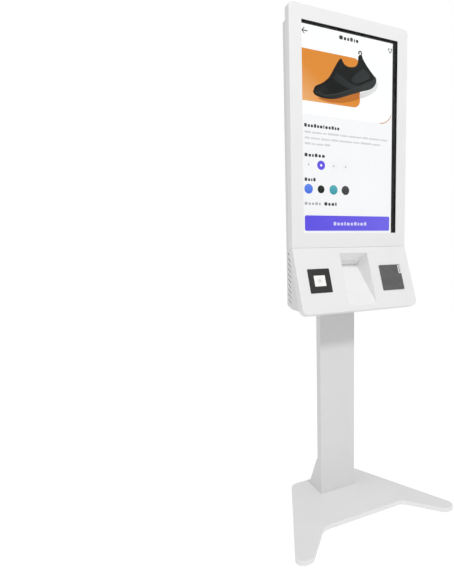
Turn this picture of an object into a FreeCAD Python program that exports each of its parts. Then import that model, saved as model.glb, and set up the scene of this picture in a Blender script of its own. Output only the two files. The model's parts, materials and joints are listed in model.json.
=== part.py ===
"""Free-standing touchscreen kiosk: a portrait screen housing with a tilted console, on a column and a base.

The origin is on the floor under the middle of the base. +X is the user's right, +Y runs to the rear and +Z
is up.
The console has a frame of its own, turned back about the bend line: there y runs into the console, square to
its face, and z runs up the face, so a point on the face has y = 0 and a negative z.
"""

import FreeCAD, Part
import os
import Sketcher

DIMENSIONS = {
    # overall
    "kiosk_height": 1842, "frame_width": 495, "frame_depth": 31, "face_ahead": 10, "bend_height": 1034,
    "sheet": 2, "hole_gap": 0.25, "running_gap": 0.05, "fold_round": 1.8, "frame_corner": 16,
    "edge_round": 2.5, "seam": 0.8,
    # screen opening and what sits behind it
    "opening_width": 403, "opening_height": 708, "opening_sill": 52, "gasket_thick": 1.5, "gasket_land": 9,
    "glass_thick": 4, "glass_margin": 12, "sight_gap": 1, "panel_gap": 0.5, "panel_width": 429,
    "panel_height": 727, "panel_depth": 14, "rail_height": 30, "rail_depth": 6, "rail_wall": 1.5,
    "rail_end": 20,
    # console
    "console_length": 241, "console_tilt": 20, "console_corner": 24, "door_gap": 2, "scanner_size": 88,
    "scanner_offset": 161.5, "scanner_drop": 123, "window_width": 45.5, "window_height": 40,
    "window_thick": 2, "window_sink": 0.6, "scanner_width": 60, "scanner_height": 52, "scanner_depth": 40,
    "reader_size": 99, "reader_offset": 151.5, "reader_drop": 125, "reader_width": 76, "reader_depth": 19,
    "scanner_proud": 1, "reader_proud": 2, "trim_lip": 5, "trim_spigot": 5, "trim_round": 3,
    # printer recess in the console
    "chute_width": 120, "chute_top": 23, "chute_foot": 222, "chute_rim": 10, "chute_foot_rim": 8,
    "chute_depth": 85, "chute_back": 42, "chute_wall": 1.5, "slot_width": 82, "slot_height": 3,
    # housing behind the front
    "housing_inset": 21, "housing_depth": 64, "housing_top": 16, "top_fall": 15, "housing_bottom": 809,
    "bottom_rise": 11, "bottom_flat": 39, "vent_count": 10, "vent_pitch": 18.9, "vent_length": 28.5,
    "vent_height": 3.4, "vent_angle": 31, "vent_lowest": 838, "vent_back": 24,
    # side service pocket and its door
    "pocket_low": 1156, "pocket_high": 1498, "pocket_slope": 22, "pocket_depth": 13, "pocket_front": 50.5,
    "pocket_wall": 1.5, "hatch_low": 1213, "hatch_high": 1432.5, "hatch_width": 30.5, "hatch_back": 10.5,
    "hatch_gap": 0.6, "notch_size": 14, "notch_height": 1326, "knuckle_radius": 2.2,
    "hatch_pin_radius": 1.1, "knuckle_stand": 0.3, "eye_gap": 0.4, "lock_height": 1447.5, "lock_back": 27,
    "lock_radius": 6, "lock_face_radius": 6.8, "plug_radius": 4, "lock_length": 12, "lock_flange": 1.2,
    "cam_length": 27, "cam_width": 8, "cam_thick": 2, "cam_gap": 0.5, "nut_rim": 3.5, "nut_thick": 3,
    "key_width": 1.2, "key_height": 5.2, "key_depth": 3, "strike_half": 5, "strike_drop": 20,
    "strike_rise": 14, "ports_inset": 36, "ports_drop": 14, "ports_land": 4, "ports_wall": 1.5,
    "ports_rise": 5, "socket_depth": 9, "socket_wall": 1, "collar_wall": 2.5, "collar_depth": 7,
    "cap_lift": 0.3, "button_radius": 7, "button_travel": 2, "button_height": 1390,
    # bracket between housing and column
    "bracket_gap": 14, "bracket_low": 1197, "bracket_high": 1553, "bracket_width": 124, "bracket_sheet": 3,
    "bracket_bolt_low": 1213.5, "bracket_bolt_high": 1502.5, "screw_grid_width": 75,
    "screw_grid_height": 200, "screw_grid_middle": 1375, "bracket_clear": 1, "bracket_inset": 3,
    "bolt_radius": 3, "bolt_head_radius": 5, "bolt_head": 3, "column_bolt_half": 50,
    "column_bolt_inset": 45, "seam_screw_radius": 2, "seam_screw_back": 4, "seam_screw_high": 50,
    "seam_screw_step": 188, "seam_screw_head": 1.4, "tab_reach": 9, "tab_half": 9, "tab_thick": 5,
    "flange_land": 12, "door_foot": 40,
    # column
    "column_width": 160, "column_depth": 31, "column_wall": 2.5, "column_top": 1487, "foot_block": 12,
    "cap_thick": 2, "cap_plug": 12, "base_bolt_radius": 5, "base_bolt_head": 8, "base_bolt_sink": 9,
    "gusset_height": 136, "gusset_length": 76, "gusset_lip": 7, "gusset_sheet": 3,
    # base
    "base_depth": 460, "base_spread": 716, "base_rear": 308, "base_thick": 17, "pad_thick": 2,
    "pad_radius": 18, "pad_tip_inset": 34, "pad_rear_inset": 32, "pad_web_inset": 44, "foot_width": 66,
    "web_front": 98, "web_width": 360, "tip_round": 28, "rear_round": 38, "web_round": 45,
    # hinge of the console
    "hinge_radius": 4, "hinge_pin_radius": 1.5, "hinge_clear": 0.5, "hinge_leaf": 1.5, "hinge_length": 440,
    "hinge_flap": 18, "knuckle_gap": 0.5, "magnet_width": 16, "magnet_depth": 12, "magnet_gap": 0.5,
    "catch_drop": 20, "catch_height": 24,
    # printer and paper
    "roll_radius": 38, "roll_width": 79.5, "spindle_radius": 6, "roll_up": 112, "roll_clear": 10,
    "cheek": 2, "cheek_half": 56, "cheek_margin": 6, "printer_start": 38, "printer_reach": 46,
    "printer_height": 35, "printer_clear": 3, "platen_radius": 6, "platen_clear": 0.6,
    "journal_radius": 2.5,
    # electronics
    "fan_size": 60, "fan_thick": 15, "fan_height": 955, "fan_hub_radius": 14, "fan_clear": 1.5,
    "fan_rim": 2, "fan_web": 2, "fan_arm": 3, "fan_hub_gap": 0.5, "fan_shaft_radius": 2, "blade_length": 9,
    "blade_thick": 1.5, "blade_shift": 4, "blade_pitch": 32, "inlet_across": 150, "inlet_back": 18,
    "inlet_width": 47, "inlet_depth": 21, "inlet_rim": 3, "inlet_flange": 2, "inlet_height": 20,
    "inlet_floor": 4, "inlet_mouth_width": 24, "inlet_mouth_depth": 15, "pin_width": 4, "pin_thick": 2,
    "speaker_width": 40, "speaker_height": 84, "speaker_depth": 22, "horn_radius": 17, "horn_throat": 8,
}

doc = FreeCAD.newDocument("kiosk")
dims = doc.addObject("Spreadsheet::Sheet", "dims")
for row, (word, number) in enumerate(DIMENSIONS.items(), start=1):
    dims.set(f"A{row}", word)
    dims.set(f"B{row}", str(number))
    dims.setAlias(f"B{row}", word)
doc.recompute()

HOLE_GAP = "dims.hole_gap"
HATCH_KNUCKLES = 5
HINGE_KNUCKLES = 5
SOCKETS = (("19", "7", "15"), ("43", "7", "15"), ("69", "8.5", "14"), ("95", "10", "7"))
FAN_BLADES = 7
INLET_PINS = (("-7", "-2"), ("0", "2"), ("7", "-2"))
REAR_WALL_UNITS = (
    ("control_computer", "-190", "-55", "38", "-70", "120"),
    ("power_supply", "60", "160", "38", "-70", "90"),
    ("display_board", "60", "170", "12", "130", "210"),
)

TILT = "dims.console_tilt"
HALF = "dims.frame_width/2"
BODY_HALF = "(dims.frame_width/2-dims.housing_inset)"
FACE = "(-dims.face_ahead)"
FRAME_REAR = "(dims.frame_depth-dims.face_ahead)"
BODY_REAR = "(dims.frame_depth-dims.face_ahead+dims.housing_depth)"
INNER_REAR = f"({BODY_REAR}-dims.sheet)"
COLUMN_FRONT = f"({BODY_REAR}+dims.bracket_gap)"
COLUMN_REAR = f"({COLUMN_FRONT}+dims.column_depth)"
BASE_TOP = "(dims.pad_thick+dims.base_thick)"
SILL = "(dims.bend_height+dims.opening_sill)"
OPENING_MIDDLE = f"({SILL}+dims.opening_height/2)"
GLASS_FRONT = f"({FACE}+dims.sheet+dims.gasket_thick)"
PANEL_FRONT = f"({GLASS_FRONT}+dims.glass_thick+dims.panel_gap)"
PANEL_REAR = f"({PANEL_FRONT}+dims.panel_depth)"
POCKET_FLOOR = f"({BODY_HALF}-dims.pocket_depth)"
POCKET_FRONT = f"({BODY_REAR}-dims.pocket_front)"
HATCH_REAR = f"({BODY_REAR}-dims.hatch_back)"
HATCH_FRONT = f"({HATCH_REAR}-dims.hatch_width)"
HATCH_HEIGHT = "(dims.hatch_high-dims.hatch_low)"
HATCH_X = f"({POCKET_FLOOR}+dims.knuckle_radius+dims.knuckle_stand)"
HATCH_Y = f"({HATCH_REAR}+1)"
LOCK_Y = f"({BODY_REAR}-dims.lock_back)"
CAM_X = f"({POCKET_FLOOR}-dims.lock_length-dims.cam_thick)"
PORTS_X = f"({BODY_HALF}-dims.ports_inset)"
PORTS_Y = f"(({HATCH_FRONT}+{HATCH_REAR})/2)"
COLUMN_MIDDLE = f"({COLUMN_FRONT}+dims.column_depth/2)"
BRACKET_SCREW_Y = f"({BODY_REAR}+dims.bracket_gap/2)"
SIDE_SCREWS = ("dims.bracket_bolt_low", "dims.bracket_bolt_high")
SEAM_SCREW_Y = f"({FRAME_REAR}+dims.seam_screw_back)"
SEAM_SCREWS = [f"(dims.kiosk_height-dims.seam_screw_high-{k}*dims.seam_screw_step)" for k in range(4)]
BASE_BOLTS = ("-dims.column_width/4", "dims.column_width/4")
COLUMN_BOLT_LEVELS = ("(dims.bracket_low+dims.column_bolt_inset)", "(dims.column_top-dims.column_bolt_inset)")
COLUMN_BOLTS = [(f"{side}dims.column_bolt_half", z) for side in ("-", "+") for z in COLUMN_BOLT_LEVELS]
HOUSING_BOLT_LEVELS = [f"(dims.screw_grid_middle{sign}dims.screw_grid_height/2)" for sign in ("-", "+")]
HOUSING_BOLTS = [(f"{side}dims.screw_grid_width/2", z) for side in ("-", "+") for z in HOUSING_BOLT_LEVELS]
INLET_HALF_WIDTH = "dims.inlet_width/2"
INLET_HALF_DEPTH = "dims.inlet_depth/2"

subparts = []


def value(expression):
    """The number that an expression of the sheet's cells gives."""
    return float(dims.evalExpression(str(expression)))


def console_point(y, z):
    """The upright y and z of a point given in the console's own frame."""
    upright_y = f"({FACE}+({y})*cos({TILT})+({z})*sin({TILT}))"
    upright_z = f"(dims.bend_height+({z})*cos({TILT})-({y})*sin({TILT}))"
    return upright_y, upright_z


BODY_FRONT = "(dims.frame_depth+dims.door_gap)"
TOE_DROP = f"((dims.housing_bottom-dims.bend_height+{BODY_FRONT}*sin({TILT}))/cos({TILT}))"
BODY_TOE = console_point(BODY_FRONT, TOE_DROP)
KNEE_DROP = f"((dims.frame_depth-{BODY_FRONT}*cos({TILT}))/sin({TILT}))"
BODY_KNEE = console_point(BODY_FRONT, KNEE_DROP)
HINGE_Z = "(dims.housing_bottom-dims.hinge_radius-dims.hinge_clear)"
HINGE_LOCAL_Y = "(dims.frame_depth+dims.hinge_radius+dims.hinge_clear)"
HINGE_LOCAL_Z = f"(({HINGE_Z}-dims.bend_height+{HINGE_LOCAL_Y}*sin({TILT}))/cos({TILT}))"
HINGE_Y = console_point(HINGE_LOCAL_Y, HINGE_LOCAL_Z)[0]
SLOT_Y = "(dims.chute_depth*0.7)"
ROOF_FALL = "((dims.chute_back-dims.chute_top)/dims.chute_depth)"
PRINTER_LOW = f"(-dims.chute_top-dims.printer_start*{ROOF_FALL}+dims.chute_wall+dims.printer_clear)"
FLOOR_LENGTH = "sqrt(pow(dims.chute_depth;2)+pow(dims.chute_foot-dims.chute_back;2))"
ROLL_OFF = "(dims.roll_radius+dims.chute_wall+dims.roll_clear)"
ROLL_ALONG = f"(dims.roll_up/{FLOOR_LENGTH})"
FLOOR_RISE = "(dims.chute_foot-dims.chute_back)"
ROLL_CENTRE = console_point(
    f"dims.chute_depth*{ROLL_ALONG}+{ROLL_OFF}*{FLOOR_RISE}/{FLOOR_LENGTH}",
    f"-dims.chute_foot+{FLOOR_RISE}*{ROLL_ALONG}-{ROLL_OFF}*dims.chute_depth/{FLOOR_LENGTH}",
)


def placement(x, y, z, axis=(1, 0, 0), angle="0"):
    """The expression of a placement at a point, turned about an axis."""
    turn = f"create(<<rotation>>; create(<<vector>>; {axis[0]}; {axis[1]}; {axis[2]}); {angle})"
    return f"create(<<placement>>; create(<<vector>>; {x}; {y}; {z}); {turn})"


def keep(obj, name):
    """Names an object as a sub-part of the kiosk."""
    obj.Label = name
    subparts.append(obj)
    return obj


# ---------------------------------------------------------------- sketches and body features

UP = (0, 0, 1)
AXIS_SIGNS = {"XY": 1, "XZ": -1, "YZ": 1}


def rect(left, low, right, high):
    return [(left, low), (right, low), (right, high), (left, high)]


def wide_rect(half_width, low, high):
    """A rectangle centred on the vertical line, as wide as twice the half width."""
    return rect(f"-({half_width})", low, half_width, high)


def circle(across, up, radius):
    return (across, up, radius)


def draw_polygon(sketch, corners):
    first = sketch.GeometryCount
    spots = [FreeCAD.Vector(value(a), value(b), 0) for a, b in corners]
    count = len(spots)
    for i in range(count):
        sketch.addGeometry(Part.LineSegment(spots[i], spots[(i + 1) % count]), False)
    for i in range(count):
        line, following = first + i, first + (i + 1) % count
        sketch.addConstraint(Sketcher.Constraint("Coincident", line, 2, following, 1))
        for kind, number, expression in (
            ("DistanceX", spots[i].x, corners[i][0]),
            ("DistanceY", spots[i].y, corners[i][1]),
        ):
            index = sketch.addConstraint(Sketcher.Constraint(kind, -1, 1, line, 1, number))
            sketch.setExpression(f"Constraints[{index}]", str(expression))


def draw_circle(sketch, across, up, radius):
    centre = FreeCAD.Vector(value(across), value(up), 0)
    ring = sketch.addGeometry(Part.Circle(centre, FreeCAD.Vector(0, 0, 1), value(radius)), False)
    for kind, number, expression in (
        ("DistanceX", centre.x, across),
        ("DistanceY", centre.y, up),
    ):
        index = sketch.addConstraint(Sketcher.Constraint(kind, -1, 1, ring, 3, number))
        sketch.setExpression(f"Constraints[{index}]", str(expression))
    index = sketch.addConstraint(Sketcher.Constraint("Radius", ring, value(radius)))
    sketch.setExpression(f"Constraints[{index}]", str(radius))


def draw(body, name, plane, level, shapes):
    """A sketch on one of the body's own planes, moved along that plane's axis to the level."""
    sketch = body.newObject("Sketcher::SketchObject", name + "_sketch")
    origin = [f for f in body.Origin.OriginFeatures if f.Role == plane + "_Plane"][0]
    sketch.AttachmentSupport = (origin, [""])
    sketch.MapMode = "FlatFace"
    sketch.setExpression("AttachmentOffset.Base.z", f"{AXIS_SIGNS[plane]}*({level})")
    for shape in shapes:
        if isinstance(shape, tuple):
            draw_circle(sketch, *shape)
        else:
            draw_polygon(sketch, shape)
    return sketch


def new_body(name, on_console=False):
    body = doc.addObject("PartDesign::Body", name)
    if on_console:
        body.setExpression("Placement", placement(0, FACE, "dims.bend_height", (1, 0, 0), f"-{TILT}"))
    return keep(body, name)


def add(body, name, plane, low, high, *shapes):
    """Pads shapes of a plane from the low level to the high one."""
    feature = body.newObject("PartDesign::Pad", name)
    feature.Profile = draw(body, name, plane, low, shapes)
    feature.setExpression("Length", f"({high})-({low})")
    feature.Reversed = AXIS_SIGNS[plane] < 0
    body.Tip = feature
    doc.recompute()
    return feature


def cut(body, name, plane, low, high, *shapes):
    """Pockets shapes of a plane from the low level to the high one."""
    before = body.Shape.Volume
    feature = body.newObject("PartDesign::Pocket", name)
    feature.Profile = draw(body, name, plane, low, shapes)
    feature.setExpression("Length", f"({high})-({low})")
    feature.Reversed = AXIS_SIGNS[plane] > 0
    body.Tip = feature
    doc.recompute()
    if not body.Shape.Volume < before - 1e-3:
        raise RuntimeError(f"{name} cuts nothing")
    return feature


def round_edges(body, name, radius, test, along=None):
    """Rounds the edges whose middle passes the test, and that run along the direction if one is given."""
    base = body.Tip
    names = []
    for number, edge in enumerate(base.Shape.Edges, start=1):
        if len(edge.Vertexes) != 2:
            continue
        middle = edge.valueAt((edge.FirstParameter + edge.LastParameter) / 2)
        run = (edge.Vertexes[1].Point - edge.Vertexes[0].Point).normalize()
        parallel = along is None or abs(run.dot(FreeCAD.Vector(*along))) > 0.999
        if parallel and test(middle):
            names.append(f"Edge{number}")
    feature = body.newObject("PartDesign::Fillet", name)
    feature.Base = (base, names)
    feature.setExpression("Radius", radius)
    body.Tip = feature
    doc.recompute()
    return feature


# ---------------------------------------------------------------- primitives and booleans

TURNS = {
    "+X": ((0, 1, 0), "90"), "-X": ((0, 1, 0), "-90"), "+Y": ((1, 0, 0), "-90"), "-Y": ((1, 0, 0), "90"),
    "+Z": ((1, 0, 0), "0"), "-Z": ((1, 0, 0), "180"), "into": ((1, 0, 0), f"-90-{TILT}"),
}


def box(x0, x1, y0, y1, z0, z1):
    block = doc.addObject("Part::Box", "block")
    block.setExpression("Length", f"({x1})-({x0})")
    block.setExpression("Width", f"({y1})-({y0})")
    block.setExpression("Height", f"({z1})-({z0})")
    block.setExpression("Placement", placement(x0, y0, z0))
    return block


def console_box(x0, x1, y0, y1, z0, z1):
    """A box given in the console's own frame."""
    block = box(x0, x1, y0, y1, z0, z1)
    block.setExpression("Placement", placement(x0, *console_point(y0, z0), (1, 0, 0), f"-{TILT}"))
    return block


def rod(x, y, z, direction, radius, length):
    """A cylinder that starts at a point and runs in a direction."""
    cylinder = doc.addObject("Part::Cylinder", "rod")
    cylinder.setExpression("Radius", radius)
    cylinder.setExpression("Height", length)
    cylinder.setExpression("Placement", placement(x, y, z, *TURNS[direction]))
    return cylinder


def cone(x, y, z, direction, start_radius, end_radius, length):
    taper = doc.addObject("Part::Cone", "taper")
    taper.setExpression("Radius1", start_radius)
    taper.setExpression("Radius2", end_radius)
    taper.setExpression("Height", length)
    taper.setExpression("Placement", placement(x, y, z, *TURNS[direction]))
    return taper


def fuse(*pieces):
    joined = doc.addObject("Part::MultiFuse", "joined")
    joined.Shapes = list(pieces)
    joined.Refine = True
    return joined


def less(piece, *tools):
    result = doc.addObject("Part::Cut", "less")
    result.Base = piece
    result.Tool = tools[0] if len(tools) == 1 else fuse(*tools)
    return result


def group(*pieces):
    """Separate solids that share one node."""
    together = doc.addObject("Part::Compound", "together")
    together.Links = list(pieces)
    return together


def bolt(x, y, z, direction, radius, length, head_radius, head):
    """A bolt whose head's underside is at the point; the shank runs in the direction."""
    opposite = {"+": "-", "-": "+"}[direction[0]] + direction[1]
    return fuse(
        rod(x, y, z, direction, radius, length),
        rod(x, y, z, opposite, head_radius, head),
    )


# ---------------------------------------------------------------- base and column


def base_side(across_sign):
    """The corners of one side of the base's outline, from the middle of the web to the rear."""
    y_front = "-dims.base_depth/2"
    spread = "dims.base_spread/2"
    corners = [
        ("dims.web_width/2", "-dims.web_front"),
        (f"{spread}-dims.foot_width", y_front),
        (spread, y_front),
        ("dims.base_rear/2", "dims.base_depth/2"),
    ]
    return [(f"{across_sign}({across})", back) for across, back in corners]


def make_base():
    body = new_body("base_plate")
    outline = base_side("+") + base_side("-")[::-1]
    add(body, "plate", "XY", "dims.pad_thick", BASE_TOP, outline)
    rear = value("dims.base_depth/2")
    front = -rear
    web = value("-dims.web_front")
    round_edges(body, "rear_corners", "dims.rear_round", lambda p: abs(p.y - rear) < 1, UP)
    round_edges(body, "foot_tips", "dims.tip_round", lambda p: abs(p.y - front) < 1, UP)
    round_edges(body, "web_corners", "dims.web_round", lambda p: abs(p.y - web) < 1, UP)
    top = value(BASE_TOP)
    round_edges(body, "top_edge", "dims.edge_round", lambda p: abs(p.z - top) < 0.01)
    holes = [circle(x, COLUMN_MIDDLE, f"dims.base_bolt_radius+{HOLE_GAP}") for x in BASE_BOLTS]
    cut(body, "bolt_holes", "XY", "0", f"{BASE_TOP}+1", *holes)
    sinks = [circle(x, COLUMN_MIDDLE, f"dims.base_bolt_head+{HOLE_GAP}") for x in BASE_BOLTS]
    cut(body, "bolt_sinks", "XY", "0", "dims.pad_thick+dims.base_bolt_sink", *sinks)
    pads = []
    for across, back in (
        ("dims.base_spread/2-dims.foot_width/2-dims.pad_radius/4", "-dims.base_depth/2+dims.pad_tip_inset"),
        ("dims.base_rear/2-dims.pad_radius", "dims.base_depth/2-dims.pad_rear_inset"),
        ("dims.web_width/2-dims.pad_radius", "-dims.web_front+dims.pad_web_inset"),
    ):
        for sign in ("+", "-"):
            pads.append(rod(f"{sign}({across})", back, "0", "+Z", "dims.pad_radius", "dims.pad_thick"))
    keep(group(*pads), "foot_pads")


def make_column():
    half = "dims.column_width/2"
    wall = "dims.column_wall"
    lid = "(dims.column_top-dims.cap_thick)"
    inside = (f"-{half}+{wall}", f"{half}-{wall}", f"{COLUMN_FRONT}+{wall}", f"{COLUMN_REAR}-{wall}")
    tube = box(f"-{half}", half, COLUMN_FRONT, COLUMN_REAR, BASE_TOP, lid)
    core = box(*inside, f"{BASE_TOP}-1", f"{lid}+1")
    through = f"dims.bolt_radius+{HOLE_GAP}"
    holes = [rod(x, f"{COLUMN_FRONT}-1", z, "+Y", through, f"{wall}+2") for x, z in COLUMN_BOLTS]
    keep(less(tube, core, *holes), "column_tube")
    plug = [f"-{half}+{wall}+{HOLE_GAP}", f"{half}-{wall}-{HOLE_GAP}"]
    plug += [f"{COLUMN_FRONT}+{wall}+{HOLE_GAP}", f"{COLUMN_REAR}-{wall}-{HOLE_GAP}"]
    cover = box(f"-{half}", half, COLUMN_FRONT, COLUMN_REAR, lid, "dims.column_top")
    keep(fuse(cover, box(*plug, f"{lid}-dims.cap_plug", lid)), "column_cap")
    block = box(*inside, BASE_TOP, f"{BASE_TOP}+dims.foot_block")
    bores = [
        rod(x, COLUMN_MIDDLE, f"{BASE_TOP}-1", "+Z", f"dims.base_bolt_radius+{HOLE_GAP}", "dims.foot_block+2")
        for x in BASE_BOLTS
    ]
    keep(less(block, *bores), "column_foot_block")
    seat = "(dims.pad_thick+dims.base_bolt_sink)"
    bolts = [
        bolt(x, COLUMN_MIDDLE, seat, "+Z", "dims.base_bolt_radius", f"{BASE_TOP}-{seat}+dims.foot_block",
             "dims.base_bolt_head", "dims.base_bolt_sink-1")
        for x in BASE_BOLTS
    ]
    keep(group(*bolts), "base_bolts")


def make_gusset():
    """The folded wedge that braces the column's rear face to the base, open at the front and below."""
    top = f"({BASE_TOP}+dims.gusset_height)"
    rear = f"({COLUMN_REAR}+dims.gusset_length)"
    lip = f"({COLUMN_REAR}+dims.gusset_lip)"
    sheet = "dims.gusset_sheet"
    body = new_body("rear_gusset")
    half = "dims.column_width/2"
    outer = [(COLUMN_REAR, BASE_TOP), (rear, BASE_TOP), (lip, top), (COLUMN_REAR, top)]
    add(body, "wedge", "YZ", f"-{half}", half, outer)
    front = f"{COLUMN_REAR}-1"
    below = f"{BASE_TOP}-1"
    inner = [
        (front, below), (f"{rear}-{sheet}", below),
        (f"{lip}-{sheet}/2", f"{top}-{sheet}"), (front, f"{top}-{sheet}"),
    ]
    cut(body, "hollow", "YZ", f"-{half}+{sheet}", f"{half}-{sheet}", inner)


def u_section(half, web_low, web_high, tip, sheet):
    """A U in plan: its web lies between two levels and its two flanges reach the tip."""
    ends = [(half, web_high), (half, tip), (f"{half}-{sheet}", tip), (f"{half}-{sheet}", web_low)]
    return ends + [(f"-({across})", back) for across, back in ends[::-1]]


def make_brackets():
    """Two nested channels between the housing and the column, held together by screws from the side."""
    sheet = "dims.bracket_sheet"
    outer_half = "dims.bracket_width/2"
    inner_half = f"({outer_half}-{sheet}-{HOLE_GAP})"
    holes = [circle(BRACKET_SCREW_Y, z, f"dims.bolt_radius+{HOLE_GAP}") for z in SIDE_SCREWS]
    rear = new_body("column_bracket")
    web = f"{COLUMN_FRONT}-{sheet}"
    section = u_section(outer_half, web, COLUMN_FRONT, f"{BODY_REAR}+dims.bracket_clear", sheet)
    add(rear, "channel", "XY", "dims.bracket_low", "dims.bracket_high", section)
    cut(rear, "side_holes", "YZ", f"-{outer_half}-1", f"{outer_half}+1", *holes)
    web_holes = [circle(x, z, f"dims.bolt_radius+{HOLE_GAP}") for x, z in COLUMN_BOLTS]
    cut(rear, "web_holes", "XZ", f"{web}-1", f"{COLUMN_FRONT}+1", *web_holes)
    front = new_body("housing_bracket")
    section = u_section(inner_half, f"{BODY_REAR}+{sheet}", BODY_REAR, f"{web}-dims.bracket_clear", sheet)
    inset = "dims.bracket_inset"
    add(front, "channel", "XY", f"dims.bracket_low+{inset}", f"dims.bracket_high-{inset}", section)
    cut(front, "side_holes", "YZ", f"-{inner_half}-1", f"{inner_half}+1", *holes)
    web_holes = [circle(x, z, f"dims.bolt_radius+{HOLE_GAP}") for x, z in HOUSING_BOLTS]
    cut(front, "web_holes", "XZ", f"{BODY_REAR}-1", f"{BODY_REAR}+{sheet}+1", *web_holes)
    head = ("dims.bolt_head_radius", "dims.bolt_head")
    reach = f"2*{sheet}+3"
    side = []
    for z in SIDE_SCREWS:
        side.append(bolt(outer_half, BRACKET_SCREW_Y, z, "-X", "dims.bolt_radius", reach, *head))
        side.append(bolt(f"-{outer_half}", BRACKET_SCREW_Y, z, "+X", "dims.bolt_radius", reach, *head))
    keep(group(*side), "bracket_side_screws")
    into_column = [
        bolt(x, f"{COLUMN_FRONT}-{sheet}", z, "+Y", "dims.bolt_radius", f"{sheet}+dims.column_wall+4", *head)
        for x, z in COLUMN_BOLTS
    ]
    keep(group(*into_column), "column_bolts")
    into_housing = [
        bolt(x, f"{BODY_REAR}+{sheet}", z, "-Y", "dims.bolt_radius", f"{sheet}+dims.sheet+4", *head)
        for x, z in HOUSING_BOLTS
    ]
    keep(group(*into_housing), "housing_bolts")


# ---------------------------------------------------------------- housing


def slanted_slot(back, up):
    """A vent slot's four corners, rising to the rear."""
    length, height, angle = "dims.vent_length/2", "dims.vent_height/2", "dims.vent_angle"
    corners = []
    for along, off in (("-", "-"), ("+", "-"), ("+", "+"), ("-", "+")):
        y = f"{back}{along}{length}*cos({angle})-({off}{height})*sin({angle})"
        z = f"{up}{along}{length}*sin({angle})+({off}{height})*cos({angle})"
        corners.append((y, z))
    return corners


def make_rear_shell():
    top = "(dims.kiosk_height-dims.housing_top)"
    bottom = "dims.housing_bottom"
    fall = "dims.top_fall/dims.housing_depth"
    flat_end = f"({BODY_REAR}-dims.bottom_flat)"
    knee_y, knee_z = BODY_KNEE
    toe_y, _ = BODY_TOE
    sheet = "dims.sheet"
    body = new_body("rear_shell")
    outline = [
        (FRAME_REAR, top), (BODY_REAR, f"{top}-dims.top_fall"), (BODY_REAR, f"{bottom}+dims.bottom_rise"),
        (flat_end, bottom), (toe_y, bottom), (knee_y, knee_z),
    ]
    add(body, "shell", "YZ", f"-{BODY_HALF}", BODY_HALF, outline)
    ahead = "4*dims.sheet"
    hollow = [
        (f"{FRAME_REAR}-{ahead}", f"{top}-{sheet}+{ahead}*{fall}"),
        (INNER_REAR, f"{top}-{sheet}-(dims.housing_depth-{sheet})*{fall}"),
        (INNER_REAR, f"{bottom}+dims.bottom_rise+{sheet}/2"),
        (flat_end, f"{bottom}+{sheet}"),
        (f"{toe_y}-{ahead}", f"{bottom}+{sheet}"),
        (f"{knee_y}-{ahead}", knee_z),
    ]
    cut(body, "hollow", "YZ", f"-{BODY_HALF}+{sheet}", f"{BODY_HALF}-{sheet}", hollow)
    flank, front = value(BODY_HALF), value(FRAME_REAR)
    round_edges(body, "folds", "dims.fold_round", lambda p: abs(abs(p.x) - flank) < 0.01 and p.y > front + 1)
    vents = [
        slanted_slot(f"({BODY_REAR}-dims.vent_back)", f"(dims.vent_lowest+{i}*dims.vent_pitch)")
        for i in range(DIMENSIONS["vent_count"])
    ]
    cut(body, "vents", "YZ", f"-{BODY_HALF}-1", f"{BODY_HALF}+1", *vents)
    screws = [circle(SEAM_SCREW_Y, z, f"dims.seam_screw_radius+{HOLE_GAP}") for z in SEAM_SCREWS]
    cut(body, "seam_holes", "YZ", f"-{BODY_HALF}-1", f"{BODY_HALF}+1", *screws)
    lip = "dims.pocket_wall*2"
    window_front = f"{POCKET_FRONT}-dims.pocket_wall"
    side_window = rect(window_front, f"dims.pocket_low-{lip}", f"{BODY_REAR}+1", f"dims.pocket_high+{lip}")
    cut(body, "pocket_side", "YZ", f"{BODY_HALF}-{sheet}-1", f"{BODY_HALF}+1", side_window)
    grown = pocket_section("dims.pocket_wall", lip)
    cut(body, "pocket_rear", "XZ", f"{INNER_REAR}-1", f"{BODY_REAR}+1", grown)
    bolts = [circle(x, z, f"dims.bolt_radius+{HOLE_GAP}") for x, z in HOUSING_BOLTS]
    cut(body, "bracket_holes", "XZ", f"{INNER_REAR}-1", f"{BODY_REAR}+1", *bolts)
    inlet = rect(
        f"dims.inlet_across-{INLET_HALF_WIDTH}", f"dims.inlet_back-{INLET_HALF_DEPTH}",
        f"dims.inlet_across+{INLET_HALF_WIDTH}", f"dims.inlet_back+{INLET_HALF_DEPTH}",
    )
    cut(body, "inlet_hole", "XY", f"{bottom}-1", f"{bottom}+{sheet}+1", inlet)


def pocket_section(wall, lip):
    """The side pocket across X and Z, grown by its wall at the floor and by a lip at its sloped ends."""
    floor = f"({POCKET_FLOOR}-{wall})"
    run = f"dims.pocket_slope*(dims.pocket_depth+{wall})/dims.pocket_depth"
    mouth = f"{BODY_HALF}+1"
    spare = "dims.pocket_slope/dims.pocket_depth"
    return [
        (mouth, f"dims.pocket_low-{lip}-{spare}"), (mouth, f"dims.pocket_high+{lip}+{spare}"),
        (floor, f"dims.pocket_high+{lip}-{run}"), (floor, f"dims.pocket_low-{lip}+{run}"),
    ]


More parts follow.
